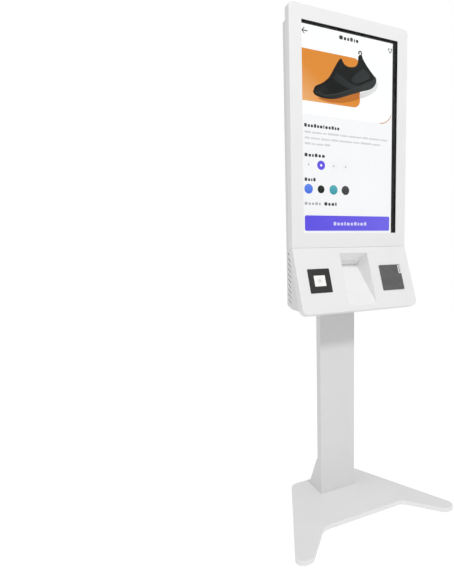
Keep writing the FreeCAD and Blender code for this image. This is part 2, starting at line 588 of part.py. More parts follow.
def make_side_pocket():
    """The recess in the right flank, open at the side and the rear, with the hatch's opening in its floor."""
    wall = "dims.pocket_wall"
    body = new_body("side_pocket")
    add(body, "shell", "XZ", f"{POCKET_FRONT}-{wall}", BODY_REAR, pocket_section(wall, f"{wall}*2"))
    cut(body, "recess", "XZ", POCKET_FRONT, f"{BODY_REAR}+1", pocket_section("0", "0"))
    spare = f"{wall}*5"
    beyond = rect(
        f"{POCKET_FRONT}-{wall}-1", f"dims.pocket_low-{spare}", f"{BODY_REAR}+1", f"dims.pocket_high+{spare}"
    )
    cut(body, "trimmed", "YZ", BODY_HALF, f"{BODY_HALF}+2", beyond)
    gap = "dims.hatch_gap"
    opening = rect(
        f"{HATCH_FRONT}-{gap}", f"dims.hatch_low-{gap}", f"{HATCH_REAR}+{gap}", f"dims.hatch_high+{gap}"
    )
    lock = circle(LOCK_Y, "dims.lock_height", f"dims.lock_radius+{HOLE_GAP}")
    cut(body, "hatch_opening", "YZ", f"{POCKET_FLOOR}-{wall}-1", f"{POCKET_FLOOR}+1", opening, lock)
    barrels, seats = hatch_knuckles((0, 2, 4), "+", f"{HATCH_REAR}+{gap}+dims.eye_gap")
    eyes = fuse(*barrels, *seats)
    solid = fuse(body, eyes)
    subparts.remove(body)
    body.Label = "side_pocket_sheet"
    pin_hole = rod(HATCH_X, HATCH_Y, "dims.hatch_low-1", "+Z", "dims.hatch_pin_radius", f"{HATCH_HEIGHT}+2")
    keep(less(solid, pin_hole), "side_pocket")


def hatch_knuckles(turns, side, seat_from):
    """Knuckles of the hatch's hinge, each with the small seat that joins it to its plate."""
    step = f"({HATCH_HEIGHT}/{HATCH_KNUCKLES})"
    barrels, seats = [], []
    for turn in turns:
        low = f"(dims.hatch_low+{turn}*{step}+dims.knuckle_gap/2)"
        high = f"({low}+{step}-dims.knuckle_gap)"
        barrels.append(rod(HATCH_X, HATCH_Y, low, "+Z", "dims.knuckle_radius", f"{high}-{low}"))
        seat_to = f"{HATCH_Y}+dims.knuckle_radius" if side == "+" else f"{HATCH_REAR}+0.2"
        seats.append(box(POCKET_FLOOR, HATCH_X, seat_from, seat_to, low, high))
    return barrels, seats


def make_hatch():
    """The service hatch in the pocket's floor, hinged on a pin along its rear edge."""
    wall = "dims.pocket_wall"
    inner = f"{POCKET_FLOOR}-{wall}"
    plate = box(inner, POCKET_FLOOR, HATCH_FRONT, HATCH_REAR, "dims.hatch_low", "dims.hatch_high")
    barrels, seats = hatch_knuckles((1, 3), "-", f"{HATCH_REAR}-dims.knuckle_radius")
    lip_x = f"({CAM_X}-dims.cam_gap-dims.cam_thick)"
    strike_low = "(dims.hatch_high-dims.strike_drop)"
    strike_y = (f"{LOCK_Y}-dims.strike_half", f"{LOCK_Y}+dims.strike_half")
    leg = box(lip_x, inner, *strike_y, strike_low, f"{strike_low}+dims.cam_thick")
    catch = box(lip_x, f"{lip_x}+dims.cam_thick", *strike_y, strike_low, f"{strike_low}+dims.strike_rise")
    notch_half = "dims.notch_size/2"
    depth = (f"{inner}-1", f"{POCKET_FLOOR}+1")
    mouth = box(*depth, f"{HATCH_FRONT}-1", f"{HATCH_FRONT}+{notch_half}", f"dims.notch_height-{notch_half}",
                f"dims.notch_height+{notch_half}")
    notch_end = f"{HATCH_FRONT}+{notch_half}"
    round_end = rod(depth[0], notch_end, "dims.notch_height", "+X", notch_half, f"{wall}+2")
    pin_hole = rod(HATCH_X, HATCH_Y, "dims.hatch_low-1", "+Z", "dims.hatch_pin_radius+dims.running_gap",
                   f"{HATCH_HEIGHT}+2")
    keep(less(fuse(plate, leg, catch, *barrels, *seats), mouth, round_end, pin_hole), "side_hatch")
    keep(rod(HATCH_X, HATCH_Y, "dims.hatch_low", "+Z", "dims.hatch_pin_radius", HATCH_HEIGHT), "hatch_pin")


def make_side_lock():
    """The cam lock above the hatch: barrel, nut, and the key plug with its cam."""
    face = f"({POCKET_FLOOR}+dims.lock_flange)"
    spot = (LOCK_Y, "dims.lock_height")
    flange = rod(POCKET_FLOOR, *spot, "+X", "dims.lock_face_radius", "dims.lock_flange")
    barrel = rod(POCKET_FLOOR, *spot, "-X", "dims.lock_radius", "dims.lock_length-0.5")
    long_bore = "dims.lock_length+dims.lock_flange+2"
    bore = rod(f"{face}+1", *spot, "-X", "dims.plug_radius+dims.running_gap", long_bore)
    keep(less(fuse(flange, barrel), bore), "side_lock_barrel")
    nut = doc.addObject("Part::Prism", "nut")
    nut.Polygon = 6
    nut.setExpression("Circumradius", "dims.lock_radius+dims.nut_rim")
    nut.setExpression("Height", "dims.nut_thick")
    nut.setExpression("Placement", placement(f"{POCKET_FLOOR}-dims.pocket_wall", *spot, (0, 1, 0), "-90"))
    thread = rod(POCKET_FLOOR, *spot, "-X", f"dims.lock_radius+{HOLE_GAP}", "dims.lock_length")
    keep(less(nut, thread), "side_lock_nut")
    plug = rod(f"{face}+0.3", *spot, "-X", "dims.plug_radius", f"{face}+0.3-{CAM_X}")
    arm = box(CAM_X, f"{CAM_X}+dims.cam_thick", f"{LOCK_Y}-dims.cam_length", LOCK_Y,
              "dims.lock_height-dims.cam_width/2", "dims.lock_height+dims.cam_width/2")
    hub = rod(CAM_X, *spot, "+X", "dims.cam_width/2+1", "dims.cam_thick")
    half_key = "dims.key_width/2"
    keyway = box(f"{face}-dims.key_depth", f"{face}+1", f"{LOCK_Y}-{half_key}", f"{LOCK_Y}+{half_key}",
                 "dims.lock_height-dims.key_height/2", "dims.lock_height+dims.key_height/2")
    keep(less(fuse(plug, arm, hub), keyway), "side_lock_plug")


def make_ports():
    """The plate behind the hatch that carries the sockets and the power button."""
    face, wall = f"({PORTS_X}+dims.sheet)", "dims.ports_wall"
    front, rear = f"({HATCH_FRONT}-dims.ports_land)", f"({HATCH_REAR}+dims.ports_land)"
    leg_end = f"{POCKET_FLOOR}-dims.pocket_wall"
    body = new_body("ports_plate")
    section = [
        (leg_end, front), (leg_end, f"{front}+{wall}"), (face, f"{front}+{wall}"), (face, f"{rear}-{wall}"),
        (leg_end, f"{rear}-{wall}"), (leg_end, rear), (PORTS_X, rear), (PORTS_X, front),
    ]
    add(body, "channel", "XY", "dims.hatch_low+dims.ports_rise", "dims.hatch_high-dims.ports_drop", section)
    stem_hole = circle(PORTS_Y, "dims.button_height", f"dims.button_radius/2+{HOLE_GAP}")
    cut(body, "button_hole", "YZ", f"{PORTS_X}-1", f"{face}+1", stem_hole)
    rim = "dims.socket_wall"
    sockets = []
    for rise, half_width, tall in SOCKETS:
        foot = f"(dims.hatch_low+{rise})"
        shell = box(face, f"{face}+dims.socket_depth", f"{PORTS_Y}-{half_width}", f"{PORTS_Y}+{half_width}",
                    foot, f"{foot}+{tall}")
        mouth = box(f"{face}+2*{rim}", f"{face}+dims.socket_depth+1", f"{PORTS_Y}-{half_width}+{rim}",
                    f"{PORTS_Y}+{half_width}-{rim}", f"{foot}+{rim}", f"{foot}+{tall}-{rim}")
        sockets.append(less(shell, mouth))
    keep(group(*sockets), "service_sockets")
    spot = (PORTS_Y, "dims.button_height")
    ring = rod(face, *spot, "+X", "dims.button_radius+dims.collar_wall", "dims.collar_depth")
    well = rod(f"{face}-1", *spot, "+X", f"dims.button_radius+{HOLE_GAP}", "dims.collar_depth+2")
    keep(less(ring, well), "button_collar")
    cap_foot = f"{face}+dims.button_travel+dims.cap_lift"
    cap = rod(cap_foot, *spot, "+X", "dims.button_radius", "dims.collar_depth")
    tail = "2*dims.button_travel"
    stem = rod(f"{PORTS_X}-{tail}", *spot, "+X", "dims.button_radius/2",
               f"{tail}+dims.sheet+dims.button_travel+dims.cap_lift+1")
    keep(fuse(cap, stem), "power_button")


# ---------------------------------------------------------------- front frame and screen


def make_front_frame():
    sheet = "dims.sheet"
    top = "dims.kiosk_height"
    rear_drop = f"(dims.bend_height-dims.frame_depth*tan({TILT}))"
    body = new_body("front_frame")
    add(body, "slab", "YZ", f"-{HALF}", HALF,
        [(FACE, "dims.bend_height"), (FRAME_REAR, rear_drop), (FRAME_REAR, top), (FACE, top)])
    lift = f"{sheet}/cos({TILT})"
    hollow = [
        (f"{FACE}+{sheet}", f"dims.bend_height-{sheet}*tan({TILT})+{lift}"),
        (f"{FRAME_REAR}-{sheet}", f"{rear_drop}+{sheet}*tan({TILT})+{lift}"),
        (f"{FRAME_REAR}-{sheet}", f"{top}-{sheet}"),
        (f"{FACE}+{sheet}", f"{top}-{sheet}"),
    ]
    cut(body, "hollow", "YZ", f"-{HALF}+{sheet}", f"{HALF}-{sheet}", hollow)
    rim, inner_rim = value(top), value(f"{top}-{sheet}")
    round_edges(body, "inner_corners", f"dims.frame_corner-{sheet}",
                lambda p: abs(p.z - inner_rim) < 0.01, (0, 1, 0))
    round_edges(body, "outer_corners", "dims.frame_corner", lambda p: abs(p.z - rim) < 0.01, (0, 1, 0))
    face, bend = value(FACE), value("dims.bend_height")
    round_edges(body, "front_edge", "dims.edge_round",
                lambda p: abs(p.y - face) < 0.01 and p.z > bend + 0.01)
    way_in = wide_rect(f"{BODY_HALF}-dims.flange_land", f"{rear_drop}+dims.flange_land",
                       f"{top}-dims.housing_top-dims.flange_land")
    cut(body, "rear_opening", "XZ", f"{FRAME_REAR}-{sheet}-1", f"{FRAME_REAR}+1", way_in)
    opening = wide_rect("dims.opening_width/2", SILL, f"{SILL}+dims.opening_height")
    cut(body, "screen_opening", "XZ", f"{FACE}-1", f"{FACE}+{sheet}+1", opening)
    tab_out = f"({BODY_HALF}-{sheet}-{HOLE_GAP})"
    for side in ("", "-"):
        for z in SEAM_SCREWS:
            edge, inner = f"{side}{tab_out}", f"{side}({tab_out}-dims.tab_thick)"
            across = (inner, edge) if side == "" else (edge, inner)
            tab = rect(across[0], f"{z}-dims.tab_half", across[1], f"{z}+dims.tab_half")
            add(body, "screw_tab", "XZ", f"{FRAME_REAR}-{sheet}/2", f"{FRAME_REAR}+dims.tab_reach", tab)
    holes = [circle(SEAM_SCREW_Y, z, f"dims.seam_screw_radius+{HOLE_GAP}") for z in SEAM_SCREWS]
    cut(body, "tab_holes", "YZ", f"-{tab_out}-1", f"{tab_out}+1", *holes)
    screws, radius = [], "dims.seam_screw_radius"
    for z in SEAM_SCREWS:
        for start, direction in ((BODY_HALF, "-X"), (f"-{BODY_HALF}", "+X")):
            screws.append(bolt(start, SEAM_SCREW_Y, z, direction, radius, f"{sheet}+dims.tab_thick+1",
                               f"1.45*{radius}", "dims.seam_screw_head"))
    keep(group(*screws), "seam_screws")


def make_screen():
    half, low, high = "dims.opening_width/2", SILL, f"{SILL}+dims.opening_height"
    land, margin = "dims.gasket_land", "dims.glass_margin"
    gap = "dims.sight_gap"
    gasket = new_body("screen_gasket")
    outline = wide_rect(f"{half}+{land}", f"{low}-{land}", f"{high}+{land}")
    add(gasket, "strip", "XZ", f"{FACE}+dims.sheet", GLASS_FRONT, outline)
    inside = wide_rect(f"{half}+{gap}", f"{low}-{gap}", f"{high}+{gap}")
    cut(gasket, "sight", "XZ", f"{FACE}+dims.sheet-1", f"{GLASS_FRONT}+1", inside)
    glass = box(f"-{half}-{margin}", f"{half}+{margin}", GLASS_FRONT, f"{GLASS_FRONT}+dims.glass_thick",
                f"{low}-{margin}", f"{high}+{margin}")
    keep(glass, "touch_glass")
    tall = "dims.panel_height/2"
    panel = box("-dims.panel_width/2", "dims.panel_width/2", PANEL_FRONT, PANEL_REAR,
                f"{OPENING_MIDDLE}-{tall}", f"{OPENING_MIDDLE}+{tall}")
    keep(panel, "display_panel")
    rails = []
    reach, end, wall = f"({HALF}-dims.sheet)", "dims.rail_end", "dims.rail_wall"
    for sign in ("+", "-"):
        middle = f"({OPENING_MIDDLE}{sign}dims.panel_height/3)"
        foot, head = f"{middle}-dims.rail_height/2", f"{middle}+dims.rail_height/2"
        rail = box(f"-{reach}", reach, PANEL_REAR, f"{PANEL_REAR}+dims.rail_depth", foot, head)
        channel = box(f"-{reach}+{end}", f"{reach}-{end}", f"{PANEL_REAR}+{wall}",
                      f"{PANEL_REAR}+dims.rail_depth+1", f"{foot}+{wall}", f"{head}-{wall}")
        rails.append(less(rail, channel))
    keep(group(*rails), "panel_rails")


# ---------------------------------------------------------------- console


def make_console_door():
    """The tilted lower front: a tray with a rear flange, hinged along its bottom."""
    sheet, depth, low = "dims.sheet", "dims.frame_depth", "(-dims.console_length)"
    high = "(-dims.seam)"
    body = new_body("console_door", on_console=True)
    add(body, "slab", "YZ", f"-{HALF}", HALF, rect("0", low, depth, high))
    cut(body, "hollow", "YZ", f"-{HALF}+{sheet}", f"{HALF}-{sheet}",
        rect(sheet, f"{low}+{sheet}", f"{depth}-{sheet}", f"{high}-{sheet}"))
    bottom, inner_bottom, top = value(low), value(f"{low}+{sheet}"), value(high)
    round_edges(body, "inner_corners", f"dims.console_corner-{sheet}",
                lambda p: abs(p.z - inner_bottom) < 0.01, (0, 1, 0))
    round_edges(body, "outer_corners", "dims.console_corner", lambda p: abs(p.z - bottom) < 0.01, (0, 1, 0))
    round_edges(body, "front_edge", "dims.edge_round", lambda p: abs(p.y) < 0.01 and p.z < top - 0.01)
    way_in = wide_rect(f"{BODY_HALF}-dims.flange_land", f"{low}+dims.door_foot", f"{high}-dims.flange_land")
    cut(body, "rear_opening", "XZ", f"{depth}-{sheet}-1", f"{depth}+1", way_in)
    scanner = square("-dims.scanner_offset", "dims.scanner_drop", "dims.scanner_size/2-dims.trim_lip")
    reader = square("dims.reader_offset", "dims.reader_drop", "dims.reader_size/2-dims.trim_lip")
    recess = wide_rect("dims.chute_width/2", "-dims.chute_foot", "-dims.chute_top")
    cut(body, "face_openings", "XZ", "-1", f"{sheet}+1", scanner, reader, recess)


def square(across, drop, half):
    return rect(f"{across}-({half})", f"-{drop}-({half})", f"{across}+({half})", f"-{drop}+({half})")


def make_chute():
    """The ticket recess: a steep roof with the paper slot, a long sloping floor and two triangular sides."""
    wall, half, sheet = "dims.chute_wall", "dims.chute_width/2", "dims.sheet"
    top, foot, back, depth = "dims.chute_top", "dims.chute_foot", "dims.chute_back", "dims.chute_depth"
    body = new_body("ticket_recess", on_console=True)
    margin = "dims.chute_foot_rim"
    rim = wide_rect(f"{half}+dims.chute_rim", f"-{foot}-{margin}", f"-{top}+{margin}")
    add(body, "rim", "XZ", sheet, f"{sheet}+{wall}", rim)
    outer = [(sheet, f"-{top}+0.75*{wall}"), (f"{depth}+1.46*{wall}", f"-{back}+0.7*{wall}"),
             (sheet, f"-{foot}+2*{sheet}-2.25*{wall}")]
    add(body, "funnel", "YZ", f"-{half}-{wall}", f"{half}+{wall}", outer)
    cut(body, "hollow", "YZ", f"-{half}", half, [("0", f"-{top}"), (depth, f"-{back}"), ("0", f"-{foot}")])
    slot = wide_rect("dims.slot_width/2", f"{SLOT_Y}-dims.slot_height/2", f"{SLOT_Y}+dims.slot_height/2")
    cut(body, "paper_slot", "XY", f"-{back}", f"-{top}+2*{wall}", slot)


def trim_plate(name, across, drop, half, proud):
    """A square plate on the console's face, with a spigot that fits the opening behind it."""
    body = new_body(name, on_console=True)
    add(body, "plate", "XZ", f"-{proud}", "0", square(across, drop, half))
    round_edges(body, "corners", "dims.trim_round", lambda p: True, (0, 1, 0))
    spigot = square(across, drop, f"{half}-dims.trim_lip-{HOLE_GAP}")
    add(body, "spigot", "XZ", "0", "dims.trim_spigot", spigot)
    return body


def console_block(name, across, drop, width, height, front, rear):
    """A block centred on a point of the console's face, between two depths behind it."""
    block = console_box(f"{across}-{width}/2", f"{across}+{width}/2", front, rear,
                        f"-{drop}-{height}/2", f"-{drop}+{height}/2")
    return keep(block, name)


def make_console_modules():
    """The code scanner and the card reader, each a cover on the face and a module behind it."""
    spot = ("-dims.scanner_offset", "dims.scanner_drop")
    wide, tall = "dims.window_width", "dims.window_height"
    bezel = trim_plate("scanner_bezel", *spot, "dims.scanner_size/2", "dims.scanner_proud")
    sight = rect(f"{spot[0]}-{wide}/2", f"-{spot[1]}-{tall}/2", f"{spot[0]}+{wide}/2", f"-{spot[1]}+{tall}/2")
    cut(bezel, "sight", "XZ", "-dims.scanner_proud-1", "dims.trim_spigot+1", sight)
    front = "(dims.window_sink-dims.scanner_proud)"
    console_block("scanner_window", *spot, f"({wide}-2*{HOLE_GAP})", f"({tall}-2*{HOLE_GAP})",
                  front, f"{front}+dims.window_thick")
    behind = "dims.trim_spigot"
    console_block("scanner_module", *spot, "dims.scanner_width", "dims.scanner_height",
                  behind, f"{behind}+dims.scanner_depth")
    spot = ("dims.reader_offset", "dims.reader_drop")
    trim_plate("reader_cover", *spot, "dims.reader_size/2", "dims.reader_proud")
    console_block("reader_module", *spot, "dims.reader_width", "dims.reader_width",
                  behind, f"{behind}+dims.reader_depth")


def hinge_pieces(turns):
    """Start and length of every knuckle of the console's hinge that belongs to one leaf."""
    step = f"(dims.hinge_length/{HINGE_KNUCKLES})"
    spans = []
    for turn in turns:
        start = f"(-dims.hinge_length/2+{turn}*{step}+dims.knuckle_gap/2)"
        spans.append((start, f"({step}-dims.knuckle_gap)"))
    return spans


def make_console_hinge():
    """A piano hinge under the housing: a leaf on the housing, a leaf on the door's flange, and the pin."""
    radius, leaf, flap = "dims.hinge_radius", "dims.hinge_leaf", "dims.hinge_flap"
    reach = f"({radius}+1)"
    ends = ("-dims.hinge_length/2", "dims.hinge_length/2")
    plate = (f"dims.housing_bottom-{leaf}", "dims.housing_bottom")
    pieces = [box(*ends, f"{HINGE_Y}+{reach}", f"{HINGE_Y}+{reach}+{flap}", *plate)]
    for start, length in hinge_pieces((0, 2, 4)):
        pieces.append(rod(start, HINGE_Y, HINGE_Z, "+X", radius, length))
        pieces.append(box(start, f"{start}+{length}", HINGE_Y, f"{HINGE_Y}+{reach}+1", *plate))
    bore_start, bore_length = f"{ends[0]}-1", "dims.hinge_length+2"
    tight = rod(bore_start, HINGE_Y, HINGE_Z, "+X", "dims.hinge_pin_radius", bore_length)
    keep(less(fuse(*pieces), tight), "hinge_leaf_housing")
    rear = "dims.frame_depth"
    low = f"({HINGE_LOCAL_Z}+{reach})"
    pieces = [console_box(*ends, rear, f"{rear}+{leaf}", low, f"{low}+{flap}")]
    for start, length in hinge_pieces((1, 3)):
        pieces.append(rod(start, HINGE_Y, HINGE_Z, "+X", radius, length))
        end = f"{start}+{length}"
        pieces.append(console_box(start, end, rear, f"{rear}+{leaf}", HINGE_LOCAL_Z, f"{low}+1"))
    loose = rod(bore_start, HINGE_Y, HINGE_Z, "+X", "dims.hinge_pin_radius+dims.running_gap", bore_length)
    keep(less(fuse(*pieces), loose), "hinge_leaf_console")
    keep(rod(ends[0], HINGE_Y, HINGE_Z, "+X", "dims.hinge_pin_radius", "dims.hinge_length"), "hinge_pin")


def make_catches():
    """Magnetic catches that hold the console shut: magnets on the housing, plates on the door's flange."""
    rear, gap = "dims.frame_depth", "dims.door_gap"
    wall_in = f"({BODY_HALF}-dims.sheet)"
    span = ("-dims.catch_drop-dims.catch_height", "-dims.catch_drop")
    magnets, plates = [], []
    for sign in (1, -1):
        near, far = f"({wall_in}-dims.magnet_width)", wall_in
        plate_near, plate_far = f"({BODY_HALF}-dims.flange_land+1)", f"({wall_in}-1)"
        if sign < 0:
            near, far, plate_near, plate_far = f"-{far}", f"-{near}", f"-{plate_far}", f"-{plate_near}"
        magnets.append(console_box(near, far, f"{rear}+{gap}", f"{rear}+{gap}+dims.magnet_depth", *span))
        plates.append(console_box(plate_near, plate_far, rear, f"{rear}+{gap}-dims.magnet_gap", *span))
    keep(group(*magnets), "catch_magnets")
    keep(group(*plates), "catch_plates")


# ---------------------------------------------------------------- printer


def make_printer():
    start, end = "dims.printer_start", "(dims.printer_start+dims.printer_reach)"
    low, high = PRINTER_LOW, f"({PRINTER_LOW}+dims.printer_height)"
    half = "(dims.cheek_half-1)"
    block = console_box(f"-{half}", half, start, end, low, high)
    axis_y, axis_z = f"({start}+2*dims.platen_radius)", f"({low}+1.5*dims.platen_radius)"
    spot = console_point(axis_y, axis_z)
    inside = "(dims.slot_width/2+2)"
    well = rod(f"-{inside}", *spot, "+X", "dims.platen_radius+dims.platen_clear", f"2*{inside}")
    lips = "dims.platen_radius*2/3"
    mouth = console_box(f"-{inside}", inside, f"{axis_y}-{lips}", f"{axis_y}+{lips}", f"{low}-1", axis_z)
    journals = rod(f"-{half}-1", *spot, "+X", "dims.journal_radius+dims.running_gap", f"2*{half}+2")
    keep(less(block, well, mouth, journals), "ticket_printer")
    roller = rod(f"-{inside}+1", *spot, "+X", "dims.platen_radius", f"2*{inside}-2")
    axle = rod(f"-{half}+1", *spot, "+X", "dims.journal_radius", f"2*{half}-2")
    keep(fuse(roller, axle), "platen_roller")
    roll_y, roll_z = ROLL_CENTRE
    body = new_body("printer_frame")
    depth, foot, back = "dims.chute_depth", "dims.chute_foot", "dims.chute_back"
    clear = "(dims.chute_wall+dims.printer_clear)"
    margin, drop = "dims.cheek_margin", "2*dims.spindle_radius"
    front_y, front_z = console_point(f"{depth}*0.45+{margin}", f"-{back}-({foot}-{back})*0.55-{margin}/2")
    outline = [
        (INNER_REAR, console_point(end, high)[1]),
        console_point(f"{start}-{margin}/2", high),
        console_point(f"{start}-{margin}/2", low),
        console_point(f"{depth}+{margin}", f"-{back}+{clear}"),
        console_point(f"{depth}+{margin}", f"-{back}-{margin}"),
        (front_y, front_z),
        (front_y, f"{roll_z}-{drop}"),
        (INNER_REAR, f"{roll_z}-{drop}"),
    ]
    outer = "(dims.cheek_half+dims.cheek)"
    add(body, "cheeks", "YZ", f"-{outer}", outer, outline)
    space = wide_rect("dims.cheek_half", f"{roll_z}-2*{drop}", f"{console_point(start, high)[1]}+{drop}")
    cut(body, "between", "XZ", f"{front_y}-{margin}", f"{INNER_REAR}-dims.cheek", space)
    spindle_hole = circle(roll_y, roll_z, "dims.spindle_radius")
    cut(body, "spindle_holes", "YZ", f"-{outer}-1", f"{outer}+1", spindle_hole)
    spindle = rod(f"-{outer}-3", roll_y, roll_z, "+X", "dims.spindle_radius", f"2*{outer}+6")
    keep(spindle, "roll_spindle")
    paper = rod("-dims.roll_width/2", roll_y, roll_z, "+X", "dims.roll_radius", "dims.roll_width")
    core_radius = "dims.spindle_radius+dims.running_gap"
    core = rod("-dims.roll_width/2-1", roll_y, roll_z, "+X", core_radius, "dims.roll_width+2")
    keep(less(paper, core), "paper_roll")


# ---------------------------------------------------------------- electronics


def make_boards():
    """The control computer, the power supply and the display's board, on the housing's rear wall."""
    for name, left, right, thick, low, high in REAR_WALL_UNITS:
        levels = (f"{OPENING_MIDDLE}+({low})", f"{OPENING_MIDDLE}+{high}")
        keep(box(left, right, f"{INNER_REAR}-{thick}", INNER_REAR, *levels), name)


def make_inlet():
    """The mains inlet in the housing's underside: a flanged shell, open below, with three flat pins."""
    across, back, bottom = "dims.inlet_across", "dims.inlet_back", "dims.housing_bottom"
    rim = "dims.inlet_rim"
    half_width, half_depth = f"({INLET_HALF_WIDTH}-{HOLE_GAP})", f"({INLET_HALF_DEPTH}-{HOLE_GAP})"

    def centred(wide, deep, low, high):
        return box(f"{across}-{wide}", f"{across}+{wide}", f"{back}-{deep}", f"{back}+{deep}", low, high)

    flange = centred(f"({half_width}+{rim})", f"({half_depth}+{rim})", f"{bottom}-dims.inlet_flange", bottom)
    shell = centred(half_width, half_depth, bottom, f"{bottom}+dims.inlet_height")
    socket = centred("dims.inlet_mouth_width/2", "dims.inlet_mouth_depth/2", f"{bottom}-dims.inlet_flange-1",
                     f"{bottom}+dims.inlet_height-dims.inlet_floor")
    pins, half_wide, half_thick = [], "dims.pin_width/2", "dims.pin_thick/2"
    for right, behind in INLET_PINS:
        x, y = f"{across}+({right})", f"{back}+({behind})"
        pins.append(box(f"{x}-{half_wide}", f"{x}+{half_wide}", f"{y}-{half_thick}", f"{y}+{half_thick}",
                        f"{bottom}+2", f"{bottom}+dims.inlet_height-dims.inlet_floor+1"))
    keep(fuse(less(fuse(flange, shell), socket), *pins), "power_inlet")


def make_speakers():
    """Two speakers, each behind the lower vents of its flank."""
    speakers = []
    middle_y = f"({BODY_REAR}-dims.vent_back)"
    middle_z = "(dims.vent_lowest+2*dims.vent_pitch)"
    half_deep, half_tall = "dims.speaker_width/2", "dims.speaker_height/2"
    for sign, direction in (("", "-X"), ("-", "+X")):
        wall = f"{sign}({BODY_HALF}-dims.sheet)"
        inner = f"{sign}({BODY_HALF}-dims.sheet-dims.speaker_depth)"
        across = (inner, wall) if sign == "" else (wall, inner)
        case = box(*across, f"{middle_y}-{half_deep}", f"{middle_y}+{half_deep}", f"{middle_z}-{half_tall}",
                   f"{middle_z}+{half_tall}")
        throat = "dims.horn_throat"
        horn = cone(wall, middle_y, middle_z, direction, "dims.horn_radius", throat, throat)
        speakers.append(less(case, horn))
    keep(group(*speakers), "speakers")


def make_fan():
    """The cooling fan behind the upper vents of the right flank."""
    wall = f"({BODY_HALF}-dims.sheet)"
    thick, half, rim, web = "dims.fan_thick", "dims.fan_size/2", "dims.fan_rim", "dims.fan_web"
    back, up = f"(({FRAME_REAR}+{INNER_REAR})/2)", "dims.fan_height"
    inner = f"({wall}-{thick})"
    case = box(inner, wall, f"{back}-{half}", f"{back}+{half}", f"{up}-{half}", f"{up}+{half}")
    duct = rod(f"{inner}-1", back, up, "+X", f"{half}-{rim}", f"{thick}+2")
    motor = rod(inner, back, up, "+X", "dims.fan_hub_radius-1", web)
    reach, arm = f"({half}-{rim}/2)", "dims.fan_arm/2"
    arms = [
        box(inner, f"{inner}+{web}", f"{back}-{reach}", f"{back}+{reach}", f"{up}-{arm}", f"{up}+{arm}"),
        box(inner, f"{inner}+{web}", f"{back}-{arm}", f"{back}+{arm}", f"{up}-{reach}", f"{up}+{reach}"),
    ]
    bore = rod(f"{inner}-1", back, up, "+X", "dims.fan_shaft_radius+dims.running_gap", f"{web}+2")
    keep(less(fuse(less(case, duct), motor, *arms), bore), "fan_housing")
    hub_start = f"{inner}+{web}+dims.fan_hub_gap"
    hub = rod(hub_start, back, up, "+X", "dims.fan_hub_radius", f"{thick}-{web}-{rim}")
    shaft = rod(inner, back, up, "+X", "dims.fan_shaft_radius", f"{web}+2")
    keep(fuse(hub, shaft, *fan_blades(f"{hub_start}+1", back, up)), "fan_rotor")


def fan_blades(start, back, up):
    """Pitched blades round the fan's hub."""
    blades = []
    for turn in range(FAN_BLADES):
        blade = doc.addObject("Part::Box", "blade")
        blade.setExpression("Length", "dims.blade_length")
        blade.setExpression("Width", "dims.blade_thick")
        blade.setExpression("Height", "dims.fan_size/2-dims.fan_rim-dims.fan_clear")
        at_hub = placement(start, back, up, (1, 0, 0), f"{turn}*360/{FAN_BLADES}")
        pitch = placement("0", "-dims.blade_shift", "0", (0, 0, 1), "dims.blade_pitch")
        blade.setExpression("Placement", f"{at_hub}*{pitch}")
        blades.append(blade)
    return blades


# ---------------------------------------------------------------- build and write


def build():
    make_base()
    make_column()
    make_gusset()
    make_brackets()
    make_rear_shell()
    make_side_pocket()
    make_hatch()
    make_side_lock()
    make_ports()
    make_front_frame()
    make_screen()
    make_console_door()
    make_chute()
    make_console_modules()
    make_console_hinge()
    make_catches()
    make_printer()
    make_boards()
    make_inlet()
    make_speakers()
    make_fan()
    doc.recompute()


def check():
    """Stops if any object failed or a sub-part has no sound solid."""
    failed = [obj.Name for obj in doc.Objects if "Invalid" in obj.State or "Error" in obj.State]
    unsound = [obj.Label for obj in subparts if obj.Shape.isNull() or not obj.Shape.isValid()]
    if failed or unsound:
        raise RuntimeError(f"failed objects {failed}, unsound sub-parts {unsound}")


def write():
    os.makedirs("parts", exist_ok=True)
    for obj in subparts:
        obj.Shape.exportStep(f"parts/{obj.Label}.step")
        print(f"{obj.Label}: {len(obj.Shape.Solids)} solid(s), {obj.Shape.Volume / 1000:.1f} cm3")


build()
check()
write()
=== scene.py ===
import json
import math

import bmesh
import bpy
from mathutils import Matrix, Vector


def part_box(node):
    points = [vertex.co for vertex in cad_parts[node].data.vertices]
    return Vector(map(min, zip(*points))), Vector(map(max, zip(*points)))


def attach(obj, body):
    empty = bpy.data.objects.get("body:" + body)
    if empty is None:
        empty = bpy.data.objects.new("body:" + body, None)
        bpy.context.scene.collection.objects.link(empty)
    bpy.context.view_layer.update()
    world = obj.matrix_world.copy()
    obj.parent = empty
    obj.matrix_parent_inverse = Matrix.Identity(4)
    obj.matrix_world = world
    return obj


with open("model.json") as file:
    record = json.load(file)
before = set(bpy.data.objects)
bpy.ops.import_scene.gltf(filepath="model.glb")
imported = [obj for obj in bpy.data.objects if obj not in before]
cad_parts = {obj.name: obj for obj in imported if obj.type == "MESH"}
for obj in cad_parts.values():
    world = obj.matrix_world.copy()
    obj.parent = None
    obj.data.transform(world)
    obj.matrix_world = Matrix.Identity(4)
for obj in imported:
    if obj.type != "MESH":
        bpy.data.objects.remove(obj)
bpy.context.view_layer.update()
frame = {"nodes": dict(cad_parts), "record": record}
nodes = frame["nodes"]
record = frame["record"]
MM = 0.001
STAND = "stand_and_housing"
CONSOLE = "console"
WHITE = [1.0, 1.0, 1.0, 1.0]
UP = (0, 0, 1)
ACROSS = (1, 0, 0)


def linear(hex_colour):
    """The linear RGBA of a six-digit sRGB colour, by the sRGB standard's own curve."""
    channels = [int(hex_colour[i:i + 2], 16) / 255 for i in (0, 2, 4)]
    return [c / 12.92 if c <= 0.04045 else ((c + 0.055) / 1.055) ** 2.4 for c in channels] + [1.0]


def shade(colour, factor):
    """The colour made darker or lighter by a factor."""
    return [min(1.0, c * factor) for c in colour[:3]] + [1.0]


